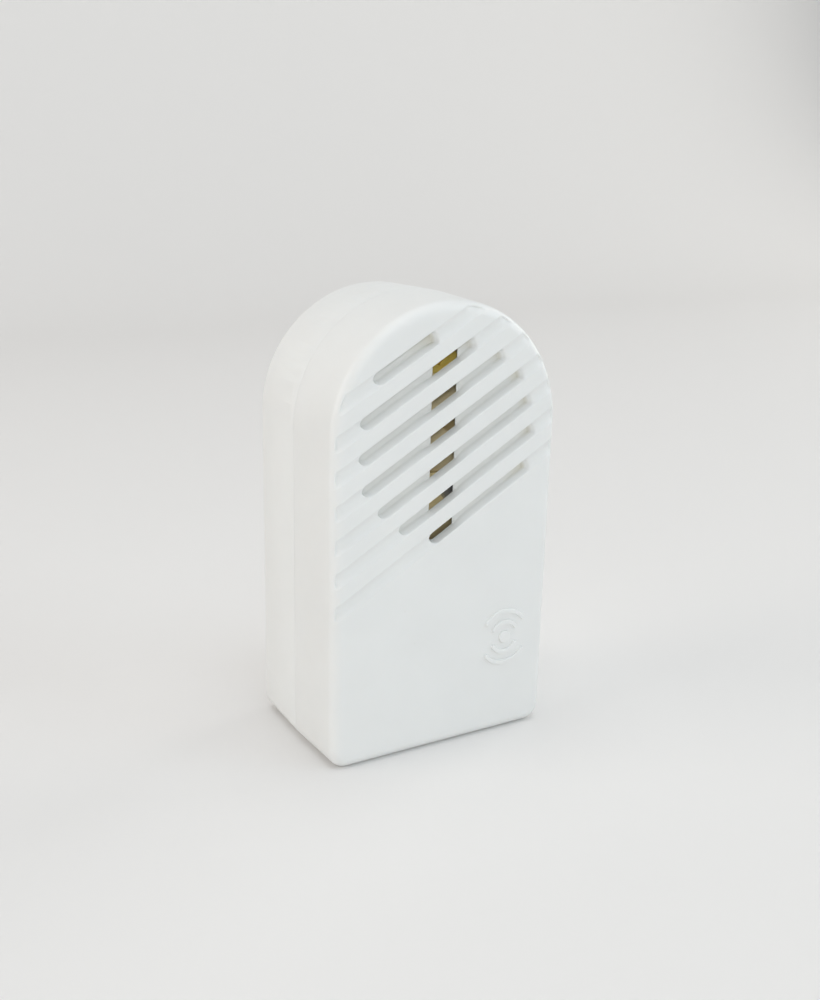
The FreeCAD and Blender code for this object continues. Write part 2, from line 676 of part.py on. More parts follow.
def make_frame_bracket():
    """Bent steel bracket: back plate, ears for the core, a leg for the reed and one for its screw."""
    part = new_body("frame_bracket")
    plate = ("frame_front", "frame_back")
    leg = ("0 - leg_half_width", "leg_half_width")
    body_box(part, "Additive", "plate", ("0 - plate_half_width", "plate_half_width"), plate,
             ("plate_bottom", "leg_top"))
    low_half = "lower_screw_right + screw_land"
    body_box(part, "Additive", "lower_land", (f"0 - ({low_half})", low_half), plate,
             ("lower_screw_up - screw_land", "lower_screw_up + screw_land"))
    body_box(part, "Additive", "middle_land", ("0 - core_half_width", "core_half_width"), plate,
             ("coil_centre - stack_half - middle_land", "coil_centre + stack_half + middle_land"))
    high_half = "upper_screw_right + screw_land"
    body_box(part, "Additive", "upper_land", (f"0 - ({high_half})", high_half), plate,
             ("coil_centre", "upper_screw_up + screw_land"))
    ear_front = "window_back + bobbin_gap * 2"
    near = "stack_half + thread_gap"
    far = f"{near} + sheet_thickness"
    ears = [("up", f"coil_centre + {near}", f"coil_centre + {far}"),
            ("down", f"coil_centre - ({far})", f"coil_centre - ({near})")]
    for level, low, high in ears:
        body_box(part, "Additive", f"ear_right_{level}", ("window_outer", "core_half_width"),
                 (ear_front, "frame_back"), (low, high))
        body_box(part, "Additive", f"ear_left_{level}", ("0 - core_half_width", "0 - window_outer"),
                 (ear_front, "frame_back"), (low, high))
    body_box(part, "Additive", "lower_leg", leg, ("reed_seat", "frame_back"),
             ("plate_bottom", "plate_bottom + sheet_thickness"))
    body_box(part, "Additive", "reed_flange", leg, ("reed_seat", "reed_seat + sheet_thickness"),
             ("plate_bottom", "clamp_up + clamp_half_height"))
    body_box(part, "Additive", "upper_leg", leg, ("tab_front", "frame_back"),
             ("leg_top - sheet_thickness", "leg_top"))
    body_box(part, "Additive", "adjust_tab", leg, ("tab_front", "tab_back"),
             ("adjust_up - adjust_tab_drop", "leg_top"))

    through_plate = ("frame_front - fit_gap", "frame_back + fit_gap")
    through_flange = ("reed_seat - fit_gap", "reed_seat + sheet_thickness + fit_gap")
    through_ears = (f"coil_centre - ({far}) - fit_gap", f"coil_centre + {far} + fit_gap")
    for side, sign in (("right", ""), ("left", "0 - ")):
        body_rod(part, "Subtractive", f"rivet_hole_{side}", "core_rivet_radius + thread_gap",
                 f"{sign}core_rivet_right", "core_rivet_back", through_ears)
        body_rod(part, "Subtractive", f"upper_hole_{side}", "frame_screw_radius + fit_gap",
                 f"{sign}upper_screw_right", through_plate, "upper_screw_up")
        body_rod(part, "Subtractive", f"lower_hole_{side}", "frame_screw_radius + fit_gap",
                 f"{sign}lower_screw_right", through_plate, "lower_screw_up")
        body_rod(part, "Subtractive", f"clamp_hole_{side}", "clamp_screw_radius + thread_gap",
                 f"{sign}clamp_screw_right", through_flange, "clamp_up")
    body_rod(part, "Subtractive", "adjust_hole", "adjust_radius + thread_gap", "0",
             ("tab_front - fit_gap", "tab_back + fit_gap"), "adjust_up")
    return part


def solid_box(name, x, y, z):
    """Free box from three pairs of formulas."""
    shape = doc.addObject("Part::Box", name)
    bind(shape, x=x[0], y=y[0], z=z[0], Length=f"({x[1]}) - ({x[0]})",
         Width=f"({y[1]}) - ({y[0]})", Height=f"({z[1]}) - ({z[0]})")
    return shape


def solid_rod(name, radius, x, y, z):
    """Free round rod along the one axis that is given as a pair."""
    shape = doc.addObject("Part::Cylinder", name)
    place_rod(shape, radius, x, y, z)
    return shape


def cut(name, base, *tools):
    """Take one or more solids away from another."""
    tool = tools[0]
    if len(tools) > 1:
        tool = doc.addObject("Part::MultiFuse", f"{name}_tools")
        tool.Shapes = list(tools)
    result = doc.addObject("Part::Cut", name)
    result.Base = base
    result.Tool = tool
    return result


def fuse(name, *shapes):
    """Join solids into one."""
    result = doc.addObject("Part::MultiFuse", name)
    result.Shapes = list(shapes)
    return result


def group(name, members):
    """Keep equal pieces together as separate solids of one sub-part."""
    result = doc.addObject("Part::Compound", name)
    result.Links = members
    result.Label = name
    return result


def front_screw(name, x, front, z, radius, length, head_radius, head_height, turn):
    """Slotted screw driven towards the back; front is the face that its head bears on."""
    head_top = f"({front}) - {head_height}"
    head = solid_rod(f"{name}_head", head_radius, x, (head_top, front), z)
    shank = solid_rod(f"{name}_shank", radius, x, (head_top, f"({front}) + {length}"), z)
    whole = fuse(f"{name}_solid", head, shank)
    return cut(name, whole, driver_slot(name, x, head_top, z, head_radius, turn))


def driver_slot(name, x, top, z, radius, turn):
    """Screwdriver slot across a round head, turned about the screw's axis."""
    slot = doc.addObject("Part::Box", f"{name}_slot")
    slot.Placement = Placement(Vector(), ALONG_X)
    along = f"2 * ({radius})"
    cosine = f"cos({turn})"
    sine = f"sin({turn})"
    bind(slot, Length=f"2 * {along}", Width="driver_slot_depth + fit_gap", Height="driver_slot_width",
         x=f"({x}) - {along} * {cosine} - driver_slot_width / 2 * {sine}",
         y=f"({top}) - fit_gap",
         z=f"({z}) + {along} * {sine} - driver_slot_width / 2 * {cosine}", turn=turn)
    return slot


def make_frame_screws():
    """Four screws that hold the bracket on the case's bosses."""
    places = [("upper_screw_right", "upper_screw_up", "upper_right_turn"),
              ("0 - upper_screw_right", "upper_screw_up", "upper_left_turn"),
              ("lower_screw_right", "lower_screw_up", "lower_right_turn"),
              ("0 - lower_screw_right", "lower_screw_up", "lower_left_turn")]
    screws = [front_screw(f"frame_screw_{index}", x, "frame_front", z, "frame_screw_radius",
                          "frame_screw_length", "frame_screw_head_radius",
                          "frame_screw_head_height", turn)
              for index, (x, z, turn) in enumerate(places)]
    return group("frame_screws", screws)


def make_core_laminations():
    """Stack of E-shaped iron sheets with two rivet holes."""
    sheets = []
    for index in range(int(SIZES["lamination_count"])):
        low = f"coil_centre - stack_half + lamination_pitch * {index} + lamination_gap / 2"
        span = (low, f"{low} + lamination_pitch - lamination_gap")
        over = (f"{low} - fit_gap", f"{low} + lamination_pitch + fit_gap")
        blank = solid_box(f"sheet_blank_{index}", ("0 - core_half_width", "core_half_width"),
                          ("pole_face", "frame_front"), span)
        tools = [solid_box(f"sheet_window_right_{index}", ("core_limb_half_width", "window_outer"),
                           ("pole_face - fit_gap", "window_back"), over),
                 solid_box(f"sheet_window_left_{index}", ("0 - window_outer", "0 - core_limb_half_width"),
                           ("pole_face - fit_gap", "window_back"), over)]
        for side, sign in (("right", ""), ("left", "0 - ")):
            tools.append(solid_rod(f"sheet_hole_{side}_{index}", "core_rivet_radius + thread_gap",
                                   f"{sign}core_rivet_right", "core_rivet_back", over))
        sheets.append(cut(f"sheet_{index}", blank, *tools))
    return group("core_laminations", sheets)


def make_core_rivets():
    """Two rivets through the ears and the stack."""
    low = "coil_centre - stack_half - thread_gap - sheet_thickness"
    high = "coil_centre + stack_half + thread_gap + sheet_thickness"
    rivets = []
    for side, sign in (("right", ""), ("left", "0 - ")):
        x = f"{sign}core_rivet_right"
        y = "core_rivet_back"
        shank = solid_rod(f"core_rivet_shank_{side}", "core_rivet_radius", x, y, (low, high))
        top = solid_rod(f"core_rivet_top_{side}", "core_rivet_head_radius", x, y,
                        (high, f"{high} + core_rivet_head_height"))
        foot = solid_rod(f"core_rivet_foot_{side}", "core_rivet_head_radius", x, y,
                         (f"{low} - core_rivet_head_height", low))
        rivets.append(fuse(f"core_rivet_{side}", shank, top, foot))
    return group("core_rivets", rivets)


def make_coil_bobbin():
    """Moulded bobbin: square tube, two flanges and the ledge that holds the pins."""
    part = new_body("coil_bobbin")
    for name, half_width, half_height, y in (
            ("tube", "tube_half_width", "tube_half_height", ("bobbin_front", "bobbin_back")),
            ("front_flange", "bobbin_half_width", "bobbin_half_height",
             ("bobbin_front", "bobbin_front + bobbin_flange")),
            ("back_flange", "bobbin_half_width", "bobbin_half_height",
             ("bobbin_back - bobbin_flange", "bobbin_back"))):
        body_box(part, "Additive", f"bobbin_{name}", (f"0 - {half_width}", half_width), y,
                 (f"coil_centre - {half_height}", f"coil_centre + {half_height}"))
    body_box(part, "Additive", "bobbin_ledge", ("0 - ledge_half_width", "ledge_half_width"),
             ("bobbin_back - ledge_depth", "bobbin_back"),
             ("ledge_bottom", "ledge_bottom + ledge_height + fit_gap"))
    window_half = "core_limb_half_width + bobbin_gap"
    window_rise = "stack_half + bobbin_gap"
    body_box(part, "Subtractive", "bobbin_window", (f"0 - ({window_half})", window_half),
             ("bobbin_front - fit_gap", "bobbin_back + fit_gap"),
             (f"coil_centre - ({window_rise})", f"coil_centre + {window_rise}"))
    for side, sign in (("right", ""), ("left", "0 - ")):
        body_rod(part, "Subtractive", f"pin_hole_{side}", "pin_radius + thread_gap",
                 f"{sign}pin_right", "pin_back",
                 ("ledge_bottom - fit_gap", "pin_bottom + pin_length + thread_gap"))
    return part


def make_wrap(name, front, back, outer_half_width, outer_half_height, outer_corner,
              inner_half_width, inner_half_height, inner_corner):
    """Ring of rounded-rectangle section round the coil's axis."""
    part = new_body(name)
    outline = new_sketch(part, f"{name}_outline", "XZ_Plane", z=f"0 - ({back})")
    doc.recompute()
    rounded_rectangle(outline, outer_half_width, outer_half_height, "coil_centre", outer_corner)
    rounded_rectangle(outline, inner_half_width, inner_half_height, "coil_centre", inner_corner)
    pad(part, f"{name}_ring", outline, f"({back}) - ({front})")
    return part


def make_coil_winding():
    """Copper winding as one block between the flanges."""
    return make_wrap("coil_winding", "winding_front", "winding_back",
                     "winding_half_width", "winding_half_height", "winding_corner",
                     "tube_half_width + thread_gap", "tube_half_height + thread_gap", "fit_gap")


def make_coil_tape():
    """Band of insulating tape round the middle of the winding."""
    outer = "thread_gap + tape_thickness"
    return make_wrap("coil_tape", "winding_front + tape_margin", "winding_back - tape_margin",
                     f"winding_half_width + {outer}", f"winding_half_height + {outer}",
                     f"winding_corner + {outer}",
                     "winding_half_width + thread_gap", "winding_half_height + thread_gap",
                     "winding_corner + thread_gap")


def make_bobbin_pins():
    """Two pins in the ledge, where the wire of the winding ends."""
    pins = [solid_rod(f"bobbin_pin_{side}", "pin_radius", f"{sign}pin_right", "pin_back",
                      ("pin_bottom", "pin_bottom + pin_length"))
            for side, sign in (("right", ""), ("left", "0 - "))]
    return group("bobbin_pins", pins)


def rounded_wire(points, radius):
    """Wire along straight runs whose corners are rounded by tangent arcs."""
    edges = []
    start = points[0]
    for before, corner, after in zip(points, points[1:], points[2:]):
        inward = (before - corner).normalize()
        outward = (after - corner).normalize()
        half_turn = inward.getAngle(outward) / 2
        reach = radius / math.tan(half_turn)
        first = corner + inward * reach
        last = corner + outward * reach
        bisector = (inward + outward).normalize()
        middle = corner + bisector * (radius / math.sin(half_turn) - radius)
        edges.append(Part.LineSegment(start, first).toShape())
        edges.append(Part.Arc(first, middle, last).toShape())
        start = last
    edges.append(Part.LineSegment(start, points[-1]).toShape())
    return Part.Wire(edges)


def make_coil_leads():
    """Two insulated wires from the bobbin pins down into the terminal clamps."""
    up = number("pin_bottom - thread_gap")
    pin_y = number("pin_back")
    clamp_y = number("clamp_body_middle")
    radius = number("lead_radius")
    bend = number("lead_bend_radius")
    low_bend = number("block_top + lead_rise")
    high_bend = up - number("lead_drop")
    bottom = number("block_middle + terminal_access_radius + lead_radius")
    leads = []
    for side, sign in (("right", 1), ("left", -1)):
        pin_x = sign * number("pin_right")
        clamp_x = sign * number("terminal_right")
        points = [Vector(pin_x, pin_y, up), Vector(pin_x, pin_y, high_bend),
                  Vector(clamp_x, clamp_y, low_bend), Vector(clamp_x, clamp_y, bottom)]
        path = rounded_wire(points, bend)
        section = Part.Wire(Part.makeCircle(radius, points[0], Vector(0, 0, 1)))
        lead = doc.addObject("Part::Feature", f"coil_lead_{side}")
        lead.Shape = path.makePipeShell([section], True, False)
        lead.Placement = Placement()
        print(f"coil lead {side}: length {path.Length:.1f} mm, bend radius {bend} mm, "
              f"volume off by {lead.Shape.Volume / (math.pi * radius ** 2 * path.Length) - 1:.5f}")
        leads.append(lead)
    return group("coil_leads", leads)


def make_terminal_block():
    """Moulded block on its pad, open at the top for the wires and at the front for the screws."""
    part = new_body("terminal_block")
    outline = new_sketch(part, "block_outline", "XZ_Plane", z="0 - block_back")
    doc.recompute()
    rounded_rectangle(outline, "block_half_width", "block_height / 2", "block_middle", "block_corner")
    pad(part, "block_solid", outline, "block_depth")
    half = "clamp_body_width / 2 + clamp_body_gap"
    for side, sign in (("right", ""), ("left", "0 - ")):
        x = f"{sign}terminal_right"
        body_box(part, "Subtractive", f"clamp_room_{side}", (f"{x} - ({half})", f"{x} + {half}"),
                 ("terminal_hole_front", "clamp_body_front + clamp_body_depth + clamp_body_gap"),
                 ("clamp_body_up - clamp_body_gap", "block_top + fit_gap"))
        body_rod(part, "Subtractive", f"access_hole_{side}", "terminal_access_radius", x,
                 ("block_front - fit_gap", "terminal_hole_front + fit_gap"), "block_middle")
    body_rod(part, "Subtractive", "block_screw_way", "block_screw_radius + screw_clearance", "0",
             ("block_front - fit_gap", "block_back + fit_gap"), "block_middle")
    body_rod(part, "Subtractive", "block_screw_sink", "block_screw_head_radius + fit_gap", "0",
             ("block_front - fit_gap", "block_front + block_sink"), "block_middle")
    return part


def make_terminal_clamps():
    """Two brass blocks with a wire hole from the top and a threaded hole from the front."""
    clamps = []
    thread_back = "clamp_body_middle + terminal_screw_radius / 2"
    for side, sign in (("right", ""), ("left", "0 - ")):
        x = f"{sign}terminal_right"
        blank = solid_box(f"clamp_blank_{side}",
                          (f"{x} - clamp_body_width / 2", f"{x} + clamp_body_width / 2"),
                          ("clamp_body_front", "clamp_body_front + clamp_body_depth"),
                          ("clamp_body_up", "clamp_body_up + clamp_body_height"))
        wire_way = solid_rod(f"clamp_wire_way_{side}", "clamp_wire_radius", x, "clamp_body_middle",
                             ("block_middle - terminal_screw_radius", "block_top + fit_gap"))
        thread = solid_rod(f"clamp_thread_{side}", "terminal_screw_radius + thread_gap", x,
                           ("clamp_body_front - fit_gap", thread_back), "block_middle")
        clamps.append(cut(f"terminal_clamp_{side}", blank, wire_way, thread))
    return group("terminal_clamps", clamps)


def make_terminal_screw(side, sign):
    """Screw that closes one terminal clamp."""
    screw = front_screw(f"terminal_screw_{side}", f"{sign}terminal_right", "clamp_body_front",
                        "block_middle", "terminal_screw_radius", "terminal_screw_length",
                        "terminal_screw_head_radius", "terminal_screw_head_height",
                        f"terminal_{side}_turn")
    screw.Label = f"terminal_screw_{side}"
    return screw


def make_terminal_block_screw():
    """Screw that holds the terminal block on its pad."""
    length = "block_depth - block_sink + boss_hole_depth - 3 * fit_gap"
    screw = front_screw("terminal_block_screw", "0", "block_front + block_sink", "block_middle",
                        "block_screw_radius", length, "block_screw_head_radius",
                        "block_screw_head_height", "block_screw_turn")
    screw.Label = "terminal_block_screw"
    return screw


def make_reed():
    """Thin flat spring with holes for its clamp screws and the armature's rivets."""
    part = new_body("reed")
    body_box(part, "Additive", "reed_strip", ("0 - reed_half_width", "reed_half_width"),
             ("reed_front", "reed_back"), ("clamp_up - reed_tail", "adjust_up + reed_tip"))
    through = ("reed_front - fit_gap", "reed_back + fit_gap")
    for side, sign in (("right", ""), ("left", "0 - ")):
        body_rod(part, "Subtractive", f"reed_clamp_hole_{side}", "clamp_screw_radius + screw_clearance",
                 f"{sign}clamp_screw_right", through, "clamp_up")
        body_rod(part, "Subtractive", f"reed_rivet_hole_{side}", "armature_rivet_radius + thread_gap",
                 f"{sign}armature_rivet_right", through, "coil_centre")
    return part


def make_armature_plate():
    """Soft iron plate on the reed, facing the three limbs of the core."""
    part = new_body("armature_plate")
    body_box(part, "Additive", "armature_bar", ("0 - core_half_width", "core_half_width"),
             ("reed_back", "reed_back + armature_thickness"),
             ("coil_centre - stack_half", "coil_centre + stack_half"))
    through = ("reed_back - fit_gap", "reed_back + armature_thickness + fit_gap")
    for side, sign in (("right", ""), ("left", "0 - ")):
        body_rod(part, "Subtractive", f"bar_rivet_hole_{side}", "armature_rivet_radius + thread_gap",
                 f"{sign}armature_rivet_right", through, "coil_centre")
    return part


def make_armature_rivets():
    """Two rivets through the reed and the armature, flush at the back."""
    rivets = []
    for side, sign in (("right", ""), ("left", "0 - ")):
        x = f"{sign}armature_rivet_right"
        shank = solid_rod(f"armature_rivet_shank_{side}", "armature_rivet_radius", x,
                          ("reed_front", "reed_back + armature_thickness"), "coil_centre")
        head = solid_rod(f"armature_rivet_head_{side}", "armature_rivet_head_radius", x,
                         ("reed_front - armature_rivet_head_height", "reed_front"), "coil_centre")
        rivets.append(fuse(f"armature_rivet_{side}", shank, head))
    return group("armature_rivets", rivets)


def make_reed_clamp_plate():
    """Plate that presses the reed's foot on its flange."""
    part = new_body("reed_clamp_plate")
    body_box(part, "Additive", "clamp_bar", ("0 - leg_half_width", "leg_half_width"),
             ("clamp_front", "clamp_back"),
             ("clamp_up - clamp_half_height", "clamp_up + clamp_half_height"))
    for side, sign in (("right", ""), ("left", "0 - ")):
        body_rod(part, "Subtractive", f"clamp_bar_hole_{side}", "clamp_screw_radius + fit_gap",
                 f"{sign}clamp_screw_right", ("clamp_front - fit_gap", "clamp_back + fit_gap"),
                 "clamp_up")
    return part


def make_reed_clamp_screws():
    """Two screws through the clamp plate and the reed into the bracket."""
    length = "clamp_thickness + 2 * clamp_gap + reed_thickness + sheet_thickness + clamp_screw_reach"
    screws = [front_screw(f"reed_clamp_screw_{side}", f"{sign}clamp_screw_right", "clamp_front",
                          "clamp_up", "clamp_screw_radius", length, "clamp_screw_head_radius",
                          "clamp_screw_head_height", f"clamp_{side}_turn")
              for side, sign in (("right", ""), ("left", "0 - "))]
    return group("reed_clamp_screws", screws)


def make_adjusting_screw():
    """Headless screw through the upper tab; its tip stops the reed and sets the tone."""
    front = "lock_nut_front - adjust_stub"
    rod = solid_rod("adjusting_rod", "adjust_radius", "0",
                    (front, "reed_front - adjust_contact_gap"), "adjust_up")
    slot = driver_slot("adjusting", "0", front, "adjust_up", "adjust_radius", "adjust_turn")
    screw = cut("adjusting_screw", rod, slot)
    screw.Label = "adjusting_screw"
    return screw


def make_adjusting_lock_nut():
    """Thin six-sided nut that locks the adjusting screw."""
    blank = doc.addObject("Part::Prism", "lock_nut_blank")
    blank.Placement = Placement(Vector(), ALONG_Y_BACK)
    blank.Polygon = NUT_SIDES
    bind(blank, Circumradius=f"lock_nut_width / 2 / cos(180 / {NUT_SIDES})",
         Height="lock_nut_thickness", y="lock_nut_front", z="adjust_up")
    hole = solid_rod("lock_nut_hole", "adjust_radius + thread_gap", "0",
                     ("lock_nut_front - fit_gap", "tab_front + fit_gap"), "adjust_up")
    nut = cut("adjusting_lock_nut", blank, hole)
    nut.Label = "adjusting_lock_nut"
    return nut


def make_cover_screw():
    """Screw up through the notch in the cover's bottom into the case's boss."""
    y = "cover_screw_front"
    seat = "cover_screw_head_height + fit_gap"
    head = solid_rod("cover_screw_head", "cover_screw_head_radius", "0", y, ("fit_gap", seat))
    shank = solid_rod("cover_screw_shank", "cover_screw_radius", "0", y, ("fit_gap", "cover_screw_length"))
    slot = solid_box("cover_screw_slot", ("0 - cover_screw_head_radius", "cover_screw_head_radius"),
                     (f"{y} - driver_slot_width / 2", f"{y} + driver_slot_width / 2"),
                     ("0", "fit_gap + driver_slot_depth"))
    screw = cut("cover_screw", fuse("cover_screw_solid", head, shank), slot)
    screw.Label = "cover_screw"
    return screw


def make_cover_nut():
    """Square nut dropped into the boss from above."""
    half = "cover_nut_width / 2"
    blank = solid_box("cover_nut_blank", (f"0 - {half}", half),
                      (f"cover_screw_front - {half}", f"cover_screw_front + {half}"),
                      ("cover_nut_up", "cover_nut_up + cover_nut_thickness"))
    hole = solid_rod("cover_nut_hole", "cover_screw_radius + thread_gap", "0", "cover_screw_front",
                     ("cover_nut_up - fit_gap", "cover_nut_up + cover_nut_thickness + fit_gap"))
    nut = cut("cover_nut", blank, hole)
    nut.Label = "cover_nut"
    return nut


sub_parts = [
    make_rear_case(),
    make_front_cover(),
    make_cable_grommet(),
    make_frame_bracket(),
    make_frame_screws(),
    make_core_laminations(),
    make_core_rivets(),
    make_coil_bobbin(),
    make_coil_winding(),
    make_coil_tape(),
    make_bobbin_pins(),
    make_coil_leads(),
    make_terminal_block(),
    make_terminal_clamps(),
    make_terminal_screw("left", "0 - "),
    make_terminal_screw("right", ""),
    make_terminal_block_screw(),
    make_reed(),
    make_armature_plate(),
    make_armature_rivets(),
    make_reed_clamp_plate(),
    make_reed_clamp_screws(),
    make_adjusting_screw(),
    make_adjusting_lock_nut(),
    make_cover_screw(),
    make_cover_nut(),
]
doc.recompute()

for item in doc.Objects:
    failed = [state for state in item.State if state in ("Invalid", "Error")]
    if failed:
        raise RuntimeError(f"{item.Name} is in state {failed}")
    if item.TypeId == "Part::Cut" and item.Shape.Volume >= item.Base.Shape.Volume:
        raise RuntimeError(f"{item.Name} cuts nothing")
for item in sub_parts:
    if item.Shape.isNull() or not item.Shape.isValid():
        raise RuntimeError(f"{item.Label} has no valid shape")

os.makedirs("parts", exist_ok=True)
for item in sub_parts:
    item.Shape.exportStep(f"parts/{item.Label}.step")
    print(f"{item.Label}: {len(item.Shape.Solids)} solid(s), {item.Shape.Volume:.1f} mm3")
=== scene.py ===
"""Looks of the electric door buzzer: two white shells, the works behind them, studio and camera."""
import json
import logging
import math
from collections.abc import Callable
from dataclasses import dataclass, replace
from enum import Enum

import bmesh
import bpy
import numpy as np
from mathutils import Matrix, Vector
from mathutils.geometry import delaunay_2d_cdt


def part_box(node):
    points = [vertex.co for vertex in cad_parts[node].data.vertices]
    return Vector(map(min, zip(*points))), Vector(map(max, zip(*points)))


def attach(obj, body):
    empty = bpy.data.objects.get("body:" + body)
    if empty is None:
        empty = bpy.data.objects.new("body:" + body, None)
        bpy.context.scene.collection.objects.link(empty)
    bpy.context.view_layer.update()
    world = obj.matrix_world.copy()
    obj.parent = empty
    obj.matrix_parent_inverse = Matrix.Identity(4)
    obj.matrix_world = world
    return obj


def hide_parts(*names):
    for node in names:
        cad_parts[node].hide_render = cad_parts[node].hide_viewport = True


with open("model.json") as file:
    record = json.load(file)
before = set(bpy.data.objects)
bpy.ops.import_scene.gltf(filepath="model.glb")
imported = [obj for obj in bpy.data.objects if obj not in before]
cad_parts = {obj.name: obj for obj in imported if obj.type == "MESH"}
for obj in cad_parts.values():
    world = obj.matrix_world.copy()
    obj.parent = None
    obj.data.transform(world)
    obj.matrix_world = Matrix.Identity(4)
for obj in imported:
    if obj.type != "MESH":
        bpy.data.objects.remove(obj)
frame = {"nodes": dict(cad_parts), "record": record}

Array = np.ndarray
# Lengths are in millimetres, apart from those that a docstring gives in metres.
MM = 0.001
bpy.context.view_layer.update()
MERGE = 0.0002
CDT_EPSILON = 1e-7
COVER_LOW, COVER_HIGH = (np.array(corner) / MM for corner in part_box("front_cover"))
BODY_OF = {node: body for body, nodes in frame["record"]["behaviour"]["bodies"].items() for node in nodes}
RELIEF = 0.4
FRONT_WALL = 3.2
GRILLE_MIDDLE = 56.48
GRILLE_ANGLE = math.radians(30)

logging.basicConfig(level=logging.INFO, format="%(message)s")
log = logging.getLogger("buzzer")


@dataclass(frozen=True)
class PhotoCamera:
    """Camera fitted to the photograph: angles in degrees, lengths in millimetres, focal length in pixels."""

    yaw: float = -30.518
    pitch: float = 17.031
    roll: float = 1.258
    distance: float = 212.876
    focal: float = 1181.487
    aim_right: float = 0.539
    aim_up: float = 2.155
    aim_height: float = 40.0
    image_height: float = 1000.0
    sensor: float = 36.0
    near: float = 10.0

    def place(self) -> bpy.types.Object:
        """Make the scene's camera.

        The camera looks along -back; right and up are turned about back by the roll.

        Returns:
            The camera object.
        """
        yaw, pitch, roll = (math.radians(angle) for angle in (self.yaw, self.pitch, self.roll))
        back = Vector((math.sin(yaw) * math.cos(pitch), -math.cos(yaw) * math.cos(pitch), math.sin(pitch)))
        right = Vector((math.cos(yaw), math.sin(yaw), 0))
        up = back.cross(right)
        aim = Vector((0, 0, self.aim_height)) + right * self.aim_right + up * self.aim_up
        rolled_right = right * math.cos(roll) + up * math.sin(roll)
        rolled_up = up * math.cos(roll) - right * math.sin(roll)
        lens = bpy.data.cameras.new("photo_camera")
        lens.sensor_width = self.sensor
        lens.lens = self.focal * self.sensor / self.image_height
        lens.clip_start = self.near * MM
        camera = bpy.data.objects.new("photo_camera", lens)
        turn = Matrix((rolled_right, rolled_up, back)).transposed().to_4x4()
        camera.matrix_world = Matrix.Translation((aim + back * self.distance) * MM) @ turn
        bpy.context.scene.collection.objects.link(camera)
        bpy.context.scene.camera = camera
        return camera


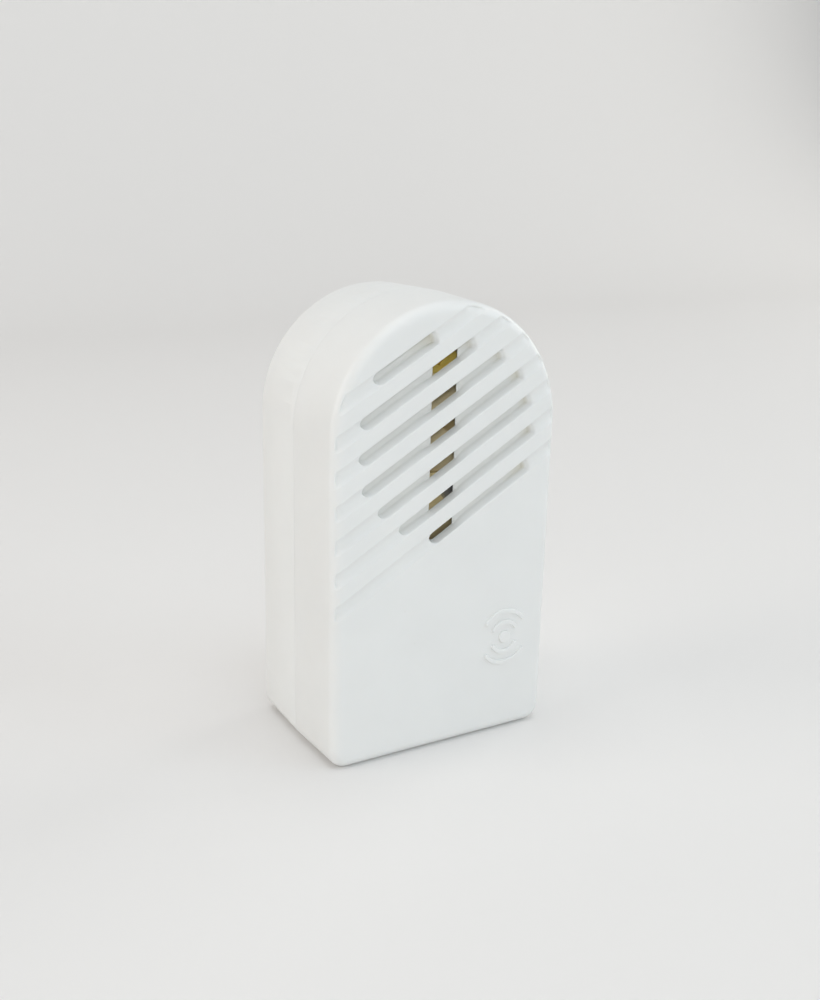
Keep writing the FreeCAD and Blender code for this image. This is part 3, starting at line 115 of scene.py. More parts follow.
class Paint:
    """Builds one node material round a Principled shader."""

    def __init__(self, name: str) -> None:
        """Start a material with its shader, output and object coordinates."""
        self.material = bpy.data.materials.new(name)
        self.material.use_nodes = True
        self.tree = self.material.node_tree
        self.shader = self.tree.nodes["Principled BSDF"]
        self.place = self.tree.nodes.new("ShaderNodeTexCoord").outputs["Object"]

    def set(self, **values: float | tuple[float, ...]) -> "Paint":
        """Set sockets of the shader, with spaces in their names written as underscores.

        Args:
            **values: Socket names and their fixed values.

        Returns:
            This material, so that calls can be chained.
        """
        for name, value in values.items():
            self.shader.inputs[name.replace("_", " ")].default_value = value
        return self

    def node(self, kind: str, links: dict | None = None, **fields: object) -> bpy.types.Node:
        """Add a node.

        Args:
            kind: Node type without its ShaderNode prefix.
            links: Input name or index to a socket that feeds it, or to a fixed value.
            **fields: Attributes of the node itself.

        Returns:
            The new node.
        """
        node = self.tree.nodes.new(f"ShaderNode{kind}")
        for name, value in fields.items():
            setattr(node, name, value)
        for name, value in (links or {}).items():
            if isinstance(value, bpy.types.NodeSocket):
                self.tree.links.new(value, node.inputs[name])
            else:
                node.inputs[name].default_value = value
        return node

    def stretched(self, scale: tuple[float, float, float], turn: tuple[float, float, float] = (0, 0, 0)
                  ) -> bpy.types.NodeSocket:
        """Object coordinates, scaled and turned.

        Args:
            scale: Scale along each axis.
            turn: Rotation in radians.

        Returns:
            The mapped coordinates.
        """
        mapping = self.node("Mapping", {"Vector": self.place, "Scale": scale, "Rotation": turn})
        return mapping.outputs["Vector"]

    def noise(self, scale: float, detail: float = 2.0, where: bpy.types.NodeSocket | None = None,
              roughness: float = 0.5) -> bpy.types.NodeSocket:
        """Fractal noise between 0 and 1.

        Args:
            scale: Cells per metre.
            detail: Octaves.
            where: Coordinates, the object's own if left out.
            roughness: Weight of the finer octaves.

        Returns:
            The noise value.
        """
        node = self.node("TexNoise", {"Vector": where or self.place, "Scale": scale, "Detail": detail,
                                      "Roughness": roughness})
        return node.outputs["Fac"]

    def spread(self, value: bpy.types.NodeSocket, low: float, high: float, start: float = 0.3,
               end: float = 0.7) -> bpy.types.NodeSocket:
        """Map a value from start..end to low..high, clamped.

        Args:
            value: What is mapped.
            low: Result at start.
            high: Result at end.
            start: Value that gives low.
            end: Value that gives high.

        Returns:
            The mapped value.
        """
        node = self.node("MapRange", {"Value": value, "From Min": start, "From Max": end,
                                      "To Min": low, "To Max": high})
        return node.outputs["Result"]

    def blend(self, share: bpy.types.NodeSocket | float, first: object, second: object,
              kind: str = "MIX") -> bpy.types.NodeSocket:
        """Mix two colours.

        Args:
            share: How much of the second colour there is.
            first: Colour or socket.
            second: Colour or socket.
            kind: Blend type.

        Returns:
            The mixed colour.
        """
        node = self.node("Mix", {0: share, 6: first, 7: second}, data_type="RGBA", blend_type=kind)
        return node.outputs[2]

    def times(self, first: bpy.types.NodeSocket, second: bpy.types.NodeSocket | float
              ) -> bpy.types.NodeSocket:
        """Product of two values."""
        return self.node("Math", {0: first, 1: second}, operation="MULTIPLY").outputs[0]

    def colour(self, value: bpy.types.NodeSocket) -> "Paint":
        """Feed the base colour."""
        self.tree.links.new(value, self.shader.inputs["Base Color"])
        return self

    def rough(self, value: bpy.types.NodeSocket) -> "Paint":
        """Feed the roughness."""
        self.tree.links.new(value, self.shader.inputs["Roughness"])
        return self

    def bump(self, height: bpy.types.NodeSocket, depth: float, strength: float = 1.0) -> "Paint":
        """Feed the normal with a bump, on top of one that is there.

        Args:
            height: Height between 0 and 1.
            depth: Real depth of the bump in metres.
            strength: Share of it that shows.

        Returns:
            This material, so that calls can be chained.
        """
        links = {"Height": height, "Distance": depth, "Strength": strength}
        before = self.shader.inputs["Normal"].links
        if before:
            links["Normal"] = before[0].from_socket
        node = self.node("Bump", links)
        self.tree.links.new(node.outputs["Normal"], self.shader.inputs["Normal"])
        return self


@dataclass(frozen=True)
class SlotShade:
    """Painted shade that greys the slots of the grille and browns their right ends, in millimetres."""

    start: float = -13.0
    full: float = -12.4
    floor: float = -12.25
    middle: float = GRILLE_MIDDLE
    angle: float = GRILLE_ANGLE
    reach: float = 19.0
    brown_start: float = 14.8
    brown_full: float = 17.8
    brown_run: float = 6.0
    grey: tuple[float, float, float] = (0.89, 0.885, 0.87)
    brown: tuple[float, float, float] = (0.82, 0.79, 0.69)

    def over(self, paint: Paint) -> bpy.types.NodeSocket:
        """Multiply the colour by grey where the depth is a slot's, and by brown towards the right ends, as
        painted shade in the recesses.

        The right ends are where the distance from the grille's middle is large and the place along
        the slots is right of the middle.

        Args:
            paint: Material whose colour gets the painted shade.

        Returns:
            The colour with the painted shade.
        """
        depth = paint.node("SeparateXYZ", {0: paint.place}).outputs["Y"]
        off = paint.node("VectorMath", {0: paint.place, 1: (0, 0, self.middle * MM)},
                         operation="SUBTRACT").outputs[0]
        flat = paint.node("VectorMath", {0: off, 1: (1, 0, 1)}, operation="MULTIPLY").outputs[0]
        far = paint.node("VectorMath", {0: flat}, operation="LENGTH").outputs["Value"]
        run = (math.cos(self.angle), 0, math.sin(self.angle))
        along = paint.node("VectorMath", {0: off, 1: run}, operation="DOT_PRODUCT").outputs["Value"]
        # Painted shade: greyer the deeper in a slot, browner towards each slot's right end.
        deep = paint.spread(depth, 0, 1, self.start * MM, self.full * MM)
        front = paint.node("Math", {0: depth, 1: self.floor * MM}, operation="LESS_THAN").outputs[0]
        near = paint.node("Math", {0: far, 1: self.reach * MM}, operation="LESS_THAN").outputs[0]
        share = paint.times(deep, paint.times(front, near))
        end = paint.times(paint.spread(far, 0, 1, self.brown_start * MM, self.brown_full * MM),
                          paint.spread(along, 0, 1, 0, self.brown_run * MM))
        tint = paint.blend(end, (*self.grey, 1.0), (*self.brown, 1.0))
        before = paint.shader.inputs["Base Color"].links[0].from_socket
        return paint.blend(share, before, tint, "MULTIPLY")


@dataclass(frozen=True)
class MouldedPlastic:
    """Injection-moulded plastic: even colour with faint clouds and specks, satin gloss, fine skin."""

    name: str
    tint: tuple[float, float, float]
    gloss: float = 0.4
    clouds: float = 0.012
    speck: tuple[float, float, float] = (0.55, 0.53, 0.48)
    specks: float = 0.15
    skin: float = 0.004
    glow: float = 0.0
    # Whether painted shade greys the slots and browns their right ends in the colour.
    slot_shaded: bool = False
    cloud_cells: float = 90.0
    speck_cells: float = 420.0
    pick_cells: float = 260.0
    gloss_cells: float = 700.0
    skin_cells: float = 6000.0
    swell_cells: float = 160.0
    swell: float = 4.0
    glow_depth: float = 1.5

    def material(self) -> bpy.types.Material:
        """Make the material.

        Clouds darken the colour a little, rare dots are specks, and two noises make the skin.

        Returns:
            The material.
        """
        paint = Paint(self.name)
        base = (*self.tint, 1.0)
        deep = (*(channel * (1 - self.clouds * 2) for channel in self.tint), 1.0)
        cloudy = paint.blend(paint.spread(paint.noise(self.cloud_cells, 3), 0, 1), base, deep)
        cells = paint.node("TexVoronoi", {"Vector": paint.place, "Scale": self.speck_cells})
        dots = cells.outputs["Distance"]
        pick = paint.noise(self.pick_cells, 1)
        dot = paint.times(paint.spread(dots, 1, 0, 0.04, 0.09), paint.spread(pick, 0, 1, 0.62, 0.66))
        paint.colour(paint.blend(paint.times(dot, self.specks), cloudy, (*self.speck, 1.0)))
        paint.rough(paint.spread(paint.noise(self.gloss_cells, 4), self.gloss - 0.04, self.gloss + 0.06))
        paint.bump(paint.noise(self.skin_cells, 2), self.skin * MM)
        paint.bump(paint.noise(self.swell_cells, 2), self.swell * self.skin * MM)
        paint.set(IOR=1.5, Specular_IOR_Level=0.5)
        # Painted shade in the slots, multiplied into the colour.
        if self.slot_shaded:
            paint.colour(SlotShade().over(paint))
        if self.glow:
            paint.set(Subsurface_Weight=self.glow, Subsurface_Scale=self.glow_depth * MM,
                      Subsurface_Radius=(1.0, 0.9, 0.8))
        return paint.material


@dataclass(frozen=True)
class SheetMetal:
    """Rolled or plated metal: brushed lines along one axis, cloudy plating and dull spots."""

    name: str
    tint: tuple[float, float, float]
    second: tuple[float, float, float]
    gloss: float = 0.32
    lines: tuple[float, float, float] = (300.0, 9000.0, 9000.0)
    dull: float = 0.12
    metal: float = 1.0
    cloud_cells: float = 420.0
    dull_cells: float = 900.0
    darkest: float = 0.88
    line_depth: float = 0.003

    def material(self) -> bpy.types.Material:
        """Make the material.

        Stretched noise draws the rolling lines, and slower noises cloud the colour and the gloss.

        Returns:
            The material.
        """
        paint = Paint(self.name)
        clouds = paint.spread(paint.noise(self.cloud_cells, 4), 0, 1)
        grain = paint.noise(1, 3, paint.stretched(self.lines))
        mixed = paint.blend(clouds, (*self.tint, 1.0), (*self.second, 1.0))
        shade = paint.spread(grain, self.darkest, 1.0)
        grey = paint.node("CombineColor", {0: shade, 1: shade, 2: shade}).outputs[0]
        paint.colour(paint.blend(1.0, mixed, grey, "MULTIPLY"))
        paint.rough(paint.spread(paint.noise(self.dull_cells, 5), self.gloss, self.gloss + self.dull))
        paint.bump(grain, self.line_depth * MM)
        paint.set(Metallic=self.metal)
        return paint.material


class Finish(Enum):
    """Every finish of the buzzer."""

    WHITE_SHELL = MouldedPlastic("white_shell", (0.8, 0.81, 0.8), glow=0.12)
    # The cover's colour carries painted shade in its slots.
    COVER_SHELL = MouldedPlastic("white_shell", (0.8, 0.81, 0.8), glow=0.12, slot_shaded=True)
    GREY_RUBBER = MouldedPlastic("grey_rubber", (0.16, 0.16, 0.165), 0.62, 0.05, skin=0.01, specks=0.05)
    YELLOW_ZINC = SheetMetal("yellow_zinc", (0.97, 0.84, 0.46), (0.95, 0.77, 0.42), 0.42, metal=0.25)
    ZINC_SCREW = SheetMetal("zinc_screw", (0.66, 0.67, 0.68), (0.55, 0.55, 0.55), 0.3, metal=0.8)
    CORE_IRON = SheetMetal("core_iron", (0.2, 0.2, 0.22), (0.27, 0.23, 0.2), 0.42)
    BOBBIN_NYLON = MouldedPlastic("bobbin_nylon", (0.72, 0.68, 0.58), 0.42)
    COPPER_WIRE = SheetMetal("copper_wire", (0.55, 0.2, 0.08), (0.45, 0.14, 0.05), 0.24)
    YELLOW_TAPE = MouldedPlastic("yellow_tape", (0.78, 0.6, 0.12), 0.25, 0.03)
    TINNED_BRASS = SheetMetal("tinned_brass", (0.7, 0.68, 0.62), (0.6, 0.58, 0.52), 0.25)
    LEAD_INSULATION = MouldedPlastic("lead_insulation", (0.05, 0.05, 0.055), 0.4)
    BLOCK_NYLON = MouldedPlastic("block_nylon", (0.62, 0.6, 0.54), 0.45)
    CLAMP_BRASS = SheetMetal("clamp_brass", (0.96, 0.78, 0.2), (0.92, 0.68, 0.16), 0.35, metal=0.3)
    REED_BRONZE = SheetMetal("reed_bronze", (0.97, 0.86, 0.58), (0.93, 0.79, 0.48), 0.42, metal=0.15)
    ARMATURE_IRON = SheetMetal("armature_iron", (0.6, 0.55, 0.45), (0.5, 0.45, 0.36), 0.4, metal=0.6)
    RIVET_BRASS = SheetMetal("rivet_brass", (0.93, 0.76, 0.42), (0.85, 0.66, 0.34), 0.36, metal=0.4)

    def material(self) -> bpy.types.Material:
        """Make the finish's material, or find it if it is there.

        Returns:
            The material.
        """
        name = self.name.lower() + "_finish"
        made = bpy.data.materials.get(name)
        if made is None:
            made = self.value.material()
            made.name = name
        return made


def placed(mesh: bpy.types.Mesh, finish: Finish, body: str, *nodes: str) -> bpy.types.Object:
    """Put a mesh in the scene as a piece of the buzzer.

    Args:
        mesh: Mesh of the piece, whose name the piece takes.
        finish: Finish of the piece.
        body: Body that it rides on.
        *nodes: CAD nodes that it replaces.

    Returns:
        The new object.
    """
    piece = bpy.data.objects.new(mesh.name, mesh)
    bpy.context.scene.collection.objects.link(piece)
    mesh.materials.append(finish.material())
    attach(piece, body)
    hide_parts(*nodes)
    return piece


def ease(share: Array) -> Array:
    """Smooth step 3 s^2 - 2 s^3, where s is the share held between 0 and 1."""
    held = np.clip(share, 0.0, 1.0)
    return held * held * (3.0 - 2.0 * held)


def lifted(flat: Array, y: Array | float) -> Array:
    """Points (x, z) of the front plane put at depth y, as (x, y, z)."""
    return np.stack((flat[..., 0], np.broadcast_to(y, flat.shape[:-1]), flat[..., 1]), -1)


def long_loop(reach: float, radius: float, step: float, arc_points: int) -> tuple[Array, Array]:
    """Closed outline of a long hole with round ends, and its outward normals.

    Two straights v = +radius and v = -radius join two half circles about u = +reach and u = -reach.

    Args:
        reach: Half length of the straights.
        radius: Radius of the ends.
        step: Distance between points on the straights.
        arc_points: Points on each half circle.

    Returns:
        Points (n, 2) and normals (n, 2), anticlockwise from the start of the right end.
    """
    half_turn = np.linspace(-math.pi / 2, math.pi / 2, arc_points)
    end = np.stack((np.cos(half_turn), np.sin(half_turn)), -1)
    count = max(int(2 * reach / step), 2)
    run = np.linspace(reach, -reach, count + 1)[1:-1]
    upper = np.stack((run, np.full_like(run, radius)), -1)
    points = np.concatenate((end * radius + (reach, 0), upper, -end * radius - (reach, 0), -upper))
    normals = np.concatenate((end, np.broadcast_to((0.0, 1.0), upper.shape), -end,
                              np.broadcast_to((0.0, -1.0), upper.shape)))
    return points, normals


def triangulated(loops: list[Array], loose: Array, kept: Callable[[Array], Array]) -> tuple[Array, Array]:
    """Delaunay triangles over closed loops and loose points, with the loops as fixed edges.

    Args:
        loops: Closed outlines, each (n, 2).
        loose: Further points (m, 2).
        kept: Says for triangle centres (t, 2) which of them belong to the plate.

    Returns:
        Points (k, 2) and triangles (t, 3).
    """
    starts = np.cumsum([0] + [len(loop) for loop in loops])
    rings = [np.arange(len(loop)) + start for loop, start in zip(loops, starts)]
    edges = np.concatenate([np.stack((ring, np.roll(ring, -1)), -1) for ring in rings])
    flat = np.concatenate((*loops, loose))
    made = delaunay_2d_cdt([Vector(point) for point in flat.tolist()], edges.tolist(), [], 0, CDT_EPSILON)
    points = np.array([tuple(point) for point in made[0]])
    triangles = np.array(made[2])
    return points, triangles[kept(points[triangles].mean(1))]


class Skin:
    """Patches of surface in millimetres that are joined into one closed mesh."""

    def __init__(self, name: str) -> None:
        """Start an empty skin."""
        self.name = name
        self.points: list[Array] = []
        self.faces: list[list[int]] = []
        self.count = 0

    def add(self, points: Array, faces: list[list[int]]) -> "Skin":
        """Add a patch.

        Args:
            points: Points (n, 3), or a grid of them.
            faces: Faces, whose indices count from the patch's first point.

        Returns:
            This skin, so that calls can be chained.
        """
        self.points.append(points.reshape(-1, 3))
        self.faces += [[index + self.count for index in face] for face in faces]
        self.count += len(self.points[-1])
        return self

    def sheet(self, grid: Array, wrap: bool = False, kept: Array | None = None) -> "Skin":
        """Add a grid of points as quads.

        Args:
            grid: Points (rows, columns, 3), a function of two parameters.
            wrap: Whether the last column joins the first.
            kept: Which quads (rows - 1, columns or columns - 1) there are, all if left out.

        Returns:
            This skin, so that calls can be chained.
        """
        rows, columns = grid.shape[:2]
        index = np.arange(rows * columns).reshape(rows, columns)
        if wrap:
            index = np.concatenate((index, index[:, :1]), 1)
        quads = np.stack((index[:-1, :-1], index[:-1, 1:], index[1:, 1:], index[1:, :-1]), -1)
        chosen = quads.reshape(-1, 4) if kept is None else quads[kept]
        return self.add(grid, chosen.tolist())

    def lid(self, *chains: Array) -> "Skin":
        """Add one polygon through chains of points (n, 3), taken in order."""
        loop = np.concatenate([chain.reshape(-1, 3) for chain in chains])
        return self.add(loop, [list(range(len(loop)))])

    def piece(self, finish: Finish, body: str, *nodes: str, sharp: float = 40.0) -> bpy.types.Object:
        """Join the patches, point the faces outwards and put the piece in the scene.

        Args:
            finish: Finish of the piece.
            body: Body that it rides on.
            *nodes: CAD nodes that it replaces.
            sharp: Angle in degrees past which an edge stays sharp.

        Returns:
            The new object.
        """
        mesh = bpy.data.meshes.new(self.name)
        mesh.from_pydata((np.concatenate(self.points) * MM).tolist(), [], self.faces)
        work = bmesh.new()
        work.from_mesh(mesh)
        bmesh.ops.remove_doubles(work, verts=work.verts, dist=MERGE * MM)
        bmesh.ops.recalc_face_normals(work, faces=work.faces)
        gaps = sum(1 for edge in work.edges if len(edge.link_faces) != 2)
        work.to_mesh(mesh)
        work.free()
        mesh.shade_smooth()
        mesh.set_sharp_from_angle(angle=math.radians(sharp))
        piece = placed(mesh, finish, body, *nodes)
        log.info("%s: %d faces, %d open edges", self.name, len(mesh.polygons), gaps)
        return piece


@dataclass(frozen=True)
class Outline:
    """Outline of the case: flat bottom, round corners, straight sides and a half-round top."""

    half: float = float(COVER_HIGH[0])
    draft: float = 0.4
    draft_depth: float = 12.0
    corner: float = 3.2
    least_corner: float = 0.6
    rim_radius: float = 2.0
    pad_half: float = 6.0
    counts: tuple[int, int, int, int, int] = (13, 13, 9, 60, 121)

    @property
    def arch(self) -> float:
        """Height of the arch's centre."""
        return COVER_HIGH[2] - self.half

    def half_at(self, y: float) -> float:
        """Half width at depth y: the draft grows evenly from the seam to the rim."""
        return self.half - self.draft * min(abs(y) / self.draft_depth, 1.0)

    def loop(self, inset: float, y: float = 0.0) -> Array:
        """Closed loop of points, drawn in by an inset and by the draft at depth y.

        The bottom has no draft. The loop starts at the left end of the screw pad and runs to the right.

        Args:
            inset: How far the outline is drawn in.
            y: Depth, which sets the draft.

        Returns:
            Points (n, 3).
        """
        half = self.half_at(y) - inset
        corner = max(self.corner - inset, self.least_corner)
        pad, rest, bend, side, crown = self.counts
        flat = half - corner
        turn = np.linspace(-math.pi / 2, 0, bend)[:, None]
        over = np.linspace(0, math.pi, crown)[:, None]
        bow = np.concatenate((np.cos(turn), np.sin(turn)), 1) * corner + (flat, inset + corner)
        arch = np.concatenate((np.cos(over), np.sin(over)), 1) * half + (0, self.arch)
        rise = np.linspace(inset + corner, self.arch, side)[1:-1]
        foot = np.linspace(-self.pad_half, self.pad_half, pad)
        run = np.linspace(self.pad_half, flat, rest)[1:-1]
        right = np.concatenate((np.stack((run, np.full_like(run, inset)), -1), bow,
                                np.stack((np.full_like(rise, half), rise), -1)))
        left = right[::-1] * (-1, 1)
        ground = np.stack((foot, np.full_like(foot, inset)), -1)
        return lifted(np.concatenate((ground, right, arch, left)), y)

    def inside(self, flat: Array) -> Array:
        """Distance of points inside the face's outline.

        It is the least of the distances to the sides or the arch and to the bottom, and near a
        bottom corner the corner's radius less the distance from its middle.

        Args:
            flat: Points (x, z).

        Returns:
            The distances, negative outside.
        """
        half = self.half_at(self.draft_depth)
        across, up = np.abs(flat[..., 0]), flat[..., 1]
        sides = half - np.hypot(across, np.maximum(up - self.arch, 0))
        off, down = across - (half - self.corner), self.corner - up
        corner = self.corner - np.hypot(off, down)
        return np.where((off > 0) & (down > 0), corner, np.minimum(sides, up))

    def face(self, flat: Array, front: float) -> Array:
        """Depth y of the plain face with its round rim, a quarter circle of the distance inside."""
        short = np.clip(self.rim_radius - self.inside(flat), 0, self.rim_radius)
        return front + self.rim_radius - np.sqrt(self.rim_radius ** 2 - short ** 2)


@dataclass(frozen=True)
class Grille:
    """Seven slanting flutes, the blind slots in them and the slit that opens six of the slots."""

    front: float = float(COVER_LOW[1]) + RELIEF
    count: int = 7
    pitch: float = 5.0
    angle: float = GRILLE_ANGLE
    flute_radius: float = 1.9
    flute_depth: float = 0.47
    flute_rows: tuple[float, ...] = (0.0, 0.35, 0.65, 0.85, 0.95, 0.99, 1.01, 1.05, 1.15, 1.4, 1.7)
    fade_start: float = 0.6
    fade_width: float = 0.4
    flute_blend: float = 0.03
    channel_limit: float = 0.999
    centre_up: float = GRILLE_MIDDLE
    first_offset: float = -13.3
    circle: float = 17.6
    end_trims: tuple[tuple[float, float], ...] = (
        (0.0, 0.0), (0.0, 0.0), (0.0, 0.0), (0.3, 0.45), (-0.6, 0.0), (-0.6, -0.8), (1.5, 1.1))
    slot_radius: float = 1.2
    loop_step: float = 0.45
    end_points: int = 21
    floor: float = -12.3
    wall_up: float = 0.1
    wall_down: float = 0.7
    wall_down_slit: float = 0.3
    wall_blend: float = 2.5
    wall_left: float = 0.3
    wall_right: float = 1.3
    wall_rings: int = 9
    slit_left: float = -2.9
    slit_right: float = 1.8
    slit_half: float = 3.0
    slit_low: float = 37.75
    slit_high: float = 73.05
    column_step: float = 0.25
    grid_reach: float = 1.6
    clearance: float = 0.15
    rim_inset: float = 0.6
    rim_rows: int = 8
    rim_band: float = 2.6
    snap: float = 1e-9

    @property
    def offsets(self) -> Array:
        """Places of the slots and flutes across their run."""
        return self.first_offset + self.pitch * np.arange(self.count)

    @property
    def flute_half(self) -> float:
        """Half width of a flute in the plain face."""
        return math.sqrt(self.flute_radius ** 2 - (self.flute_radius - self.flute_depth) ** 2)

    def to_front(self, slanted: Array) -> Array:
        """Turn points (u, v) along and across the slots into (x, z)."""
        along, across = slanted[..., 0], slanted[..., 1]
        cos, sin = math.cos(self.angle), math.sin(self.angle)
        return np.stack((along * cos - across * sin, along * sin + across * cos + self.centre_up), -1)

    def to_slant(self, flat: Array) -> Array:
        """Turn points (x, z) into (u, v) along and across the slots."""
        x, z = flat[..., 0], flat[..., 1] - self.centre_up
        cos, sin = math.cos(self.angle), math.sin(self.angle)
        return np.stack((x * cos + z * sin, z * cos - x * sin), -1)

    def height(self, flat: Array, outline: Outline) -> Array:
        """Depth y of the fluted face at points (x, z).

        Each flute is a round channel that follows the plain face and its rim: with v from its middle,
        c = depth less r - sqrt(r^2 - v^2) is how deep it is. The soft maximum with nought,
        (c + sqrt(c^2 + b^2)) / 2, rounds its edges, and it fades to nothing near the outline.

        Args:
            flat: Points (n, 2).
            outline: Outline of the case.

        Returns:
            The depths (n,).
        """
        across = self.to_slant(flat)[..., 1]
        nearest = self.first_offset + self.pitch * np.clip(
            np.round((across - self.first_offset) / self.pitch), 0, self.count - 1)
        off = np.clip(np.abs(across - nearest), 0, self.flute_radius * self.channel_limit)
        fade = ease((outline.inside(flat) - self.fade_start) / self.fade_width)
        channel = np.sqrt(self.flute_radius ** 2 - off ** 2) - self.flute_radius + self.flute_depth
        soft = 0.5 * (channel + np.sqrt(channel ** 2 + self.flute_blend ** 2))
        return outline.face(flat, self.front) + soft * fade

    def run(self, index: int) -> tuple[float, float]:
        """Middle and half length of a slot's straight middle line along u.

        It is the circle's chord less the radius of the ends, plus what each end reaches further.

        Args:
            index: Number of the slot from below.

        Returns:
            Middle and half length.
        """
        left, right = self.end_trims[index]
        chord = math.sqrt(self.circle ** 2 - self.offsets[index] ** 2) - self.slot_radius
        return (right - left) / 2, chord + (left + right) / 2

    def slot_loops(self, index: int) -> tuple[Array, Array]:
        """Rim and floor outlines of a slot.

        The floor is the rim drawn in by the normal times left or right along the slot, and times up or
        down across it, with a steeper lower wall beside the slit. Where the floor's outline crosses
        the slit's sides, both get a point.

        Args:
            index: Number of the slot from below.

        Returns:
            Rim and floor in (x, z), each (n, 2).
        """
        middle, reach = self.run(index)
        place = np.array((middle, self.offsets[index]))
        points, normals = long_loop(reach, self.slot_radius, self.loop_step, self.end_points)
        rim = self.to_front(points + place)
        beside = np.maximum(self.slit_left - rim[:, 0], rim[:, 0] - self.slit_right)
        down = self.wall_down_slit + (self.wall_down - self.wall_down_slit) * ease(beside / self.wall_blend)
        draw = np.stack((np.where(normals[:, 0] > 0, self.wall_right, self.wall_left),
                         np.where(normals[:, 1] > 0, self.wall_up, down)), -1)
        floor = self.to_front(points - normals * draw + place)
        for limit in (self.slit_left, self.slit_right):
            after = np.roll(floor, -1, 0)
            span = after[:, 0] - floor[:, 0]
            share = np.where(span != 0, (limit - floor[:, 0]) / np.where(span != 0, span, 1), -1)
            at = np.flatnonzero((share > 0) & (share < 1))
            fraction = share[at][:, None]
            new_rim = rim[at] + (np.roll(rim, -1, 0)[at] - rim[at]) * fraction
            new_floor = floor[at] + (after[at] - floor[at]) * fraction
            new_floor[:, 0] = limit
            rim = np.insert(rim, at + 1, new_rim, 0)
            floor = np.insert(floor, at + 1, new_floor, 0)
        return rim, floor

    def in_slot(self, flat: Array, margin: float) -> Array:
        """Say which points are within a margin of a slot.

        Args:
            flat: Points (x, z).
            margin: How far round a slot counts as in it.

        Returns:
            Truth values, one for each point.
        """
        slanted = self.to_slant(flat)
        hit = np.zeros(flat.shape[:-1], bool)
        for index, offset in enumerate(self.offsets):
            middle, reach = self.run(index)
            beyond = np.maximum(np.abs(slanted[..., 0] - middle) - reach, 0)
            hit |= np.hypot(beyond, slanted[..., 1] - offset) < self.slot_radius + margin
        return hit

    def in_slit(self, flat: Array) -> Array:
        """Whether points (x, z) lie in the slit where it meets the inner face."""
        across, up = flat[:, 0], flat[:, 1]
        return (np.abs(across) < self.slit_half) & (up > self.slit_low) & (up < self.slit_high)

    def grid(self, outline: Outline) -> Array:
        """Loose points: rings that follow the rim, and rows along the flutes, dense at their edges.

        Args:
            outline: Outline of the case.

        Returns:
            Points (x, z).
        """
        reach = np.array(self.flute_rows) * self.flute_half
        across = (self.offsets[:, None] + np.concatenate((-reach[:0:-1], reach))).ravel()
        limit = self.grid_reach * outline.half
        along = np.arange(-limit, limit, self.column_step)
        flat = self.to_front(np.stack(np.meshgrid(along, across), -1)).reshape(-1, 2)
        inside = outline.inside(flat)
        coarse = np.tile(np.arange(len(along)) % 2 == 0, len(across))
        wanted = (inside > self.rim_inset + self.clearance) & (coarse | (inside < self.rim_band))
        rows = flat[wanted & ~self.in_slot(flat, self.clearance)]
        first = math.acos(1 - self.rim_inset / outline.rim_radius)
        insets = outline.rim_radius * (1 - np.cos(np.linspace(first, math.pi / 2, self.rim_rows)[1:]))
        fine = replace(outline, counts=tuple(2 * count - 1 for count in outline.counts))
        rings = [fine.loop(inset, self.front)[:, (0, 2)] for inset in (*insets, self.rim_band)]
        return np.concatenate((rows, *rings))

    def walls(self, skin: Skin, outline: Outline, rim: Array, floor: Array) -> None:
        """Add a slot's wall: rings at share s from rim to floor, sunk by the smooth step of s.

        Args:
            skin: Skin of the cover.
            outline: Outline of the case.
            rim: Outline of the slot on the face, (n, 2).
            floor: Outline of its floor, (n, 2).
        """
        share = np.linspace(0, 1, self.wall_rings)[:, None]
        rings = rim + (floor - rim) * share[..., None]
        top = self.height(rings, outline)
        skin.sheet(lifted(rings, top + (self.floor - top) * ease(share)), wrap=True)

    def build(self, skin: Skin, outline: Outline) -> tuple[list[Array], Array]:
        """Add slots, floors and the slit's roof and sides.

        Args:
            skin: Skin of the cover.
            outline: Outline of the case.

        Returns:
            The rims of the slots, and the slit's outline on the inner face.
        """
        rims, chains = [], []
        near, far = self.slit_left, self.slit_right
        for index in range(self.count):
            rim, floor = self.slot_loops(index)
            rims.append(rim)
            self.walls(skin, outline, rim, floor)
            if floor[:, 0].max() <= near:
                skin.lid(lifted(floor, self.floor))
                continue
            start = int(np.argmax(floor[:, 0]))
            floor = np.roll(floor, -start, 0)
            x = floor[:, 0]
            right, left = x >= far - self.snap, x <= near + self.snap
            open_part = (x <= far + self.snap) & (x >= near - self.snap)
            middle = int(np.argmin(x))
            order = np.arange(len(x))
            lower, upper = floor[right & (order > middle)], floor[right & (order <= middle)]
            skin.lid(lifted(np.concatenate((lower, upper)), self.floor))
            if left.sum() > 2:
                skin.lid(lifted(floor[left], self.floor))
            chains.append((floor[open_part & (order < middle)], floor[open_part & (order > middle)]))
        return rims, self.slit(skin, chains)

    def slit(self, skin: Skin, chains: list[tuple[Array, Array]]) -> Array:
        """Add the slit's roof between the openings, and its side walls, which flare towards the inside.

        Args:
            skin: Skin of the cover.
            chains: For each opening its upper edge from right to left and its lower edge from left to right.

        Returns:
            The slit's outline on the inner face, (n, 3).
        """
        low = np.array(((self.slit_left, self.slit_low), (self.slit_right, self.slit_low)))
        high = np.array(((self.slit_right, self.slit_high), (self.slit_left, self.slit_high)))
        before = low
        for upper, lower in chains:
            skin.lid(lifted(before, self.floor), lifted(lower[::-1], self.floor))
            before = upper[::-1]
        skin.lid(lifted(before, self.floor), lifted(high, self.floor))
        right_ends = [np.stack((lower[-1], upper[0])) for upper, lower in chains]
        left_ends = [np.stack((lower[0], upper[-1])) for upper, lower in chains]
        right_up = np.concatenate([low[1:], *right_ends, high[:1]])
        left_up = np.concatenate([low[:1], *left_ends, high[1:]])
        around = np.concatenate((right_up, left_up[::-1]))
        back = np.stack((np.where(around[:, 0] > 0, self.slit_half, -self.slit_half), around[:, 1]), -1)
        skin.sheet(np.stack((lifted(around, self.floor), lifted(back, self.front + FRONT_WALL))), wrap=True)
        return back


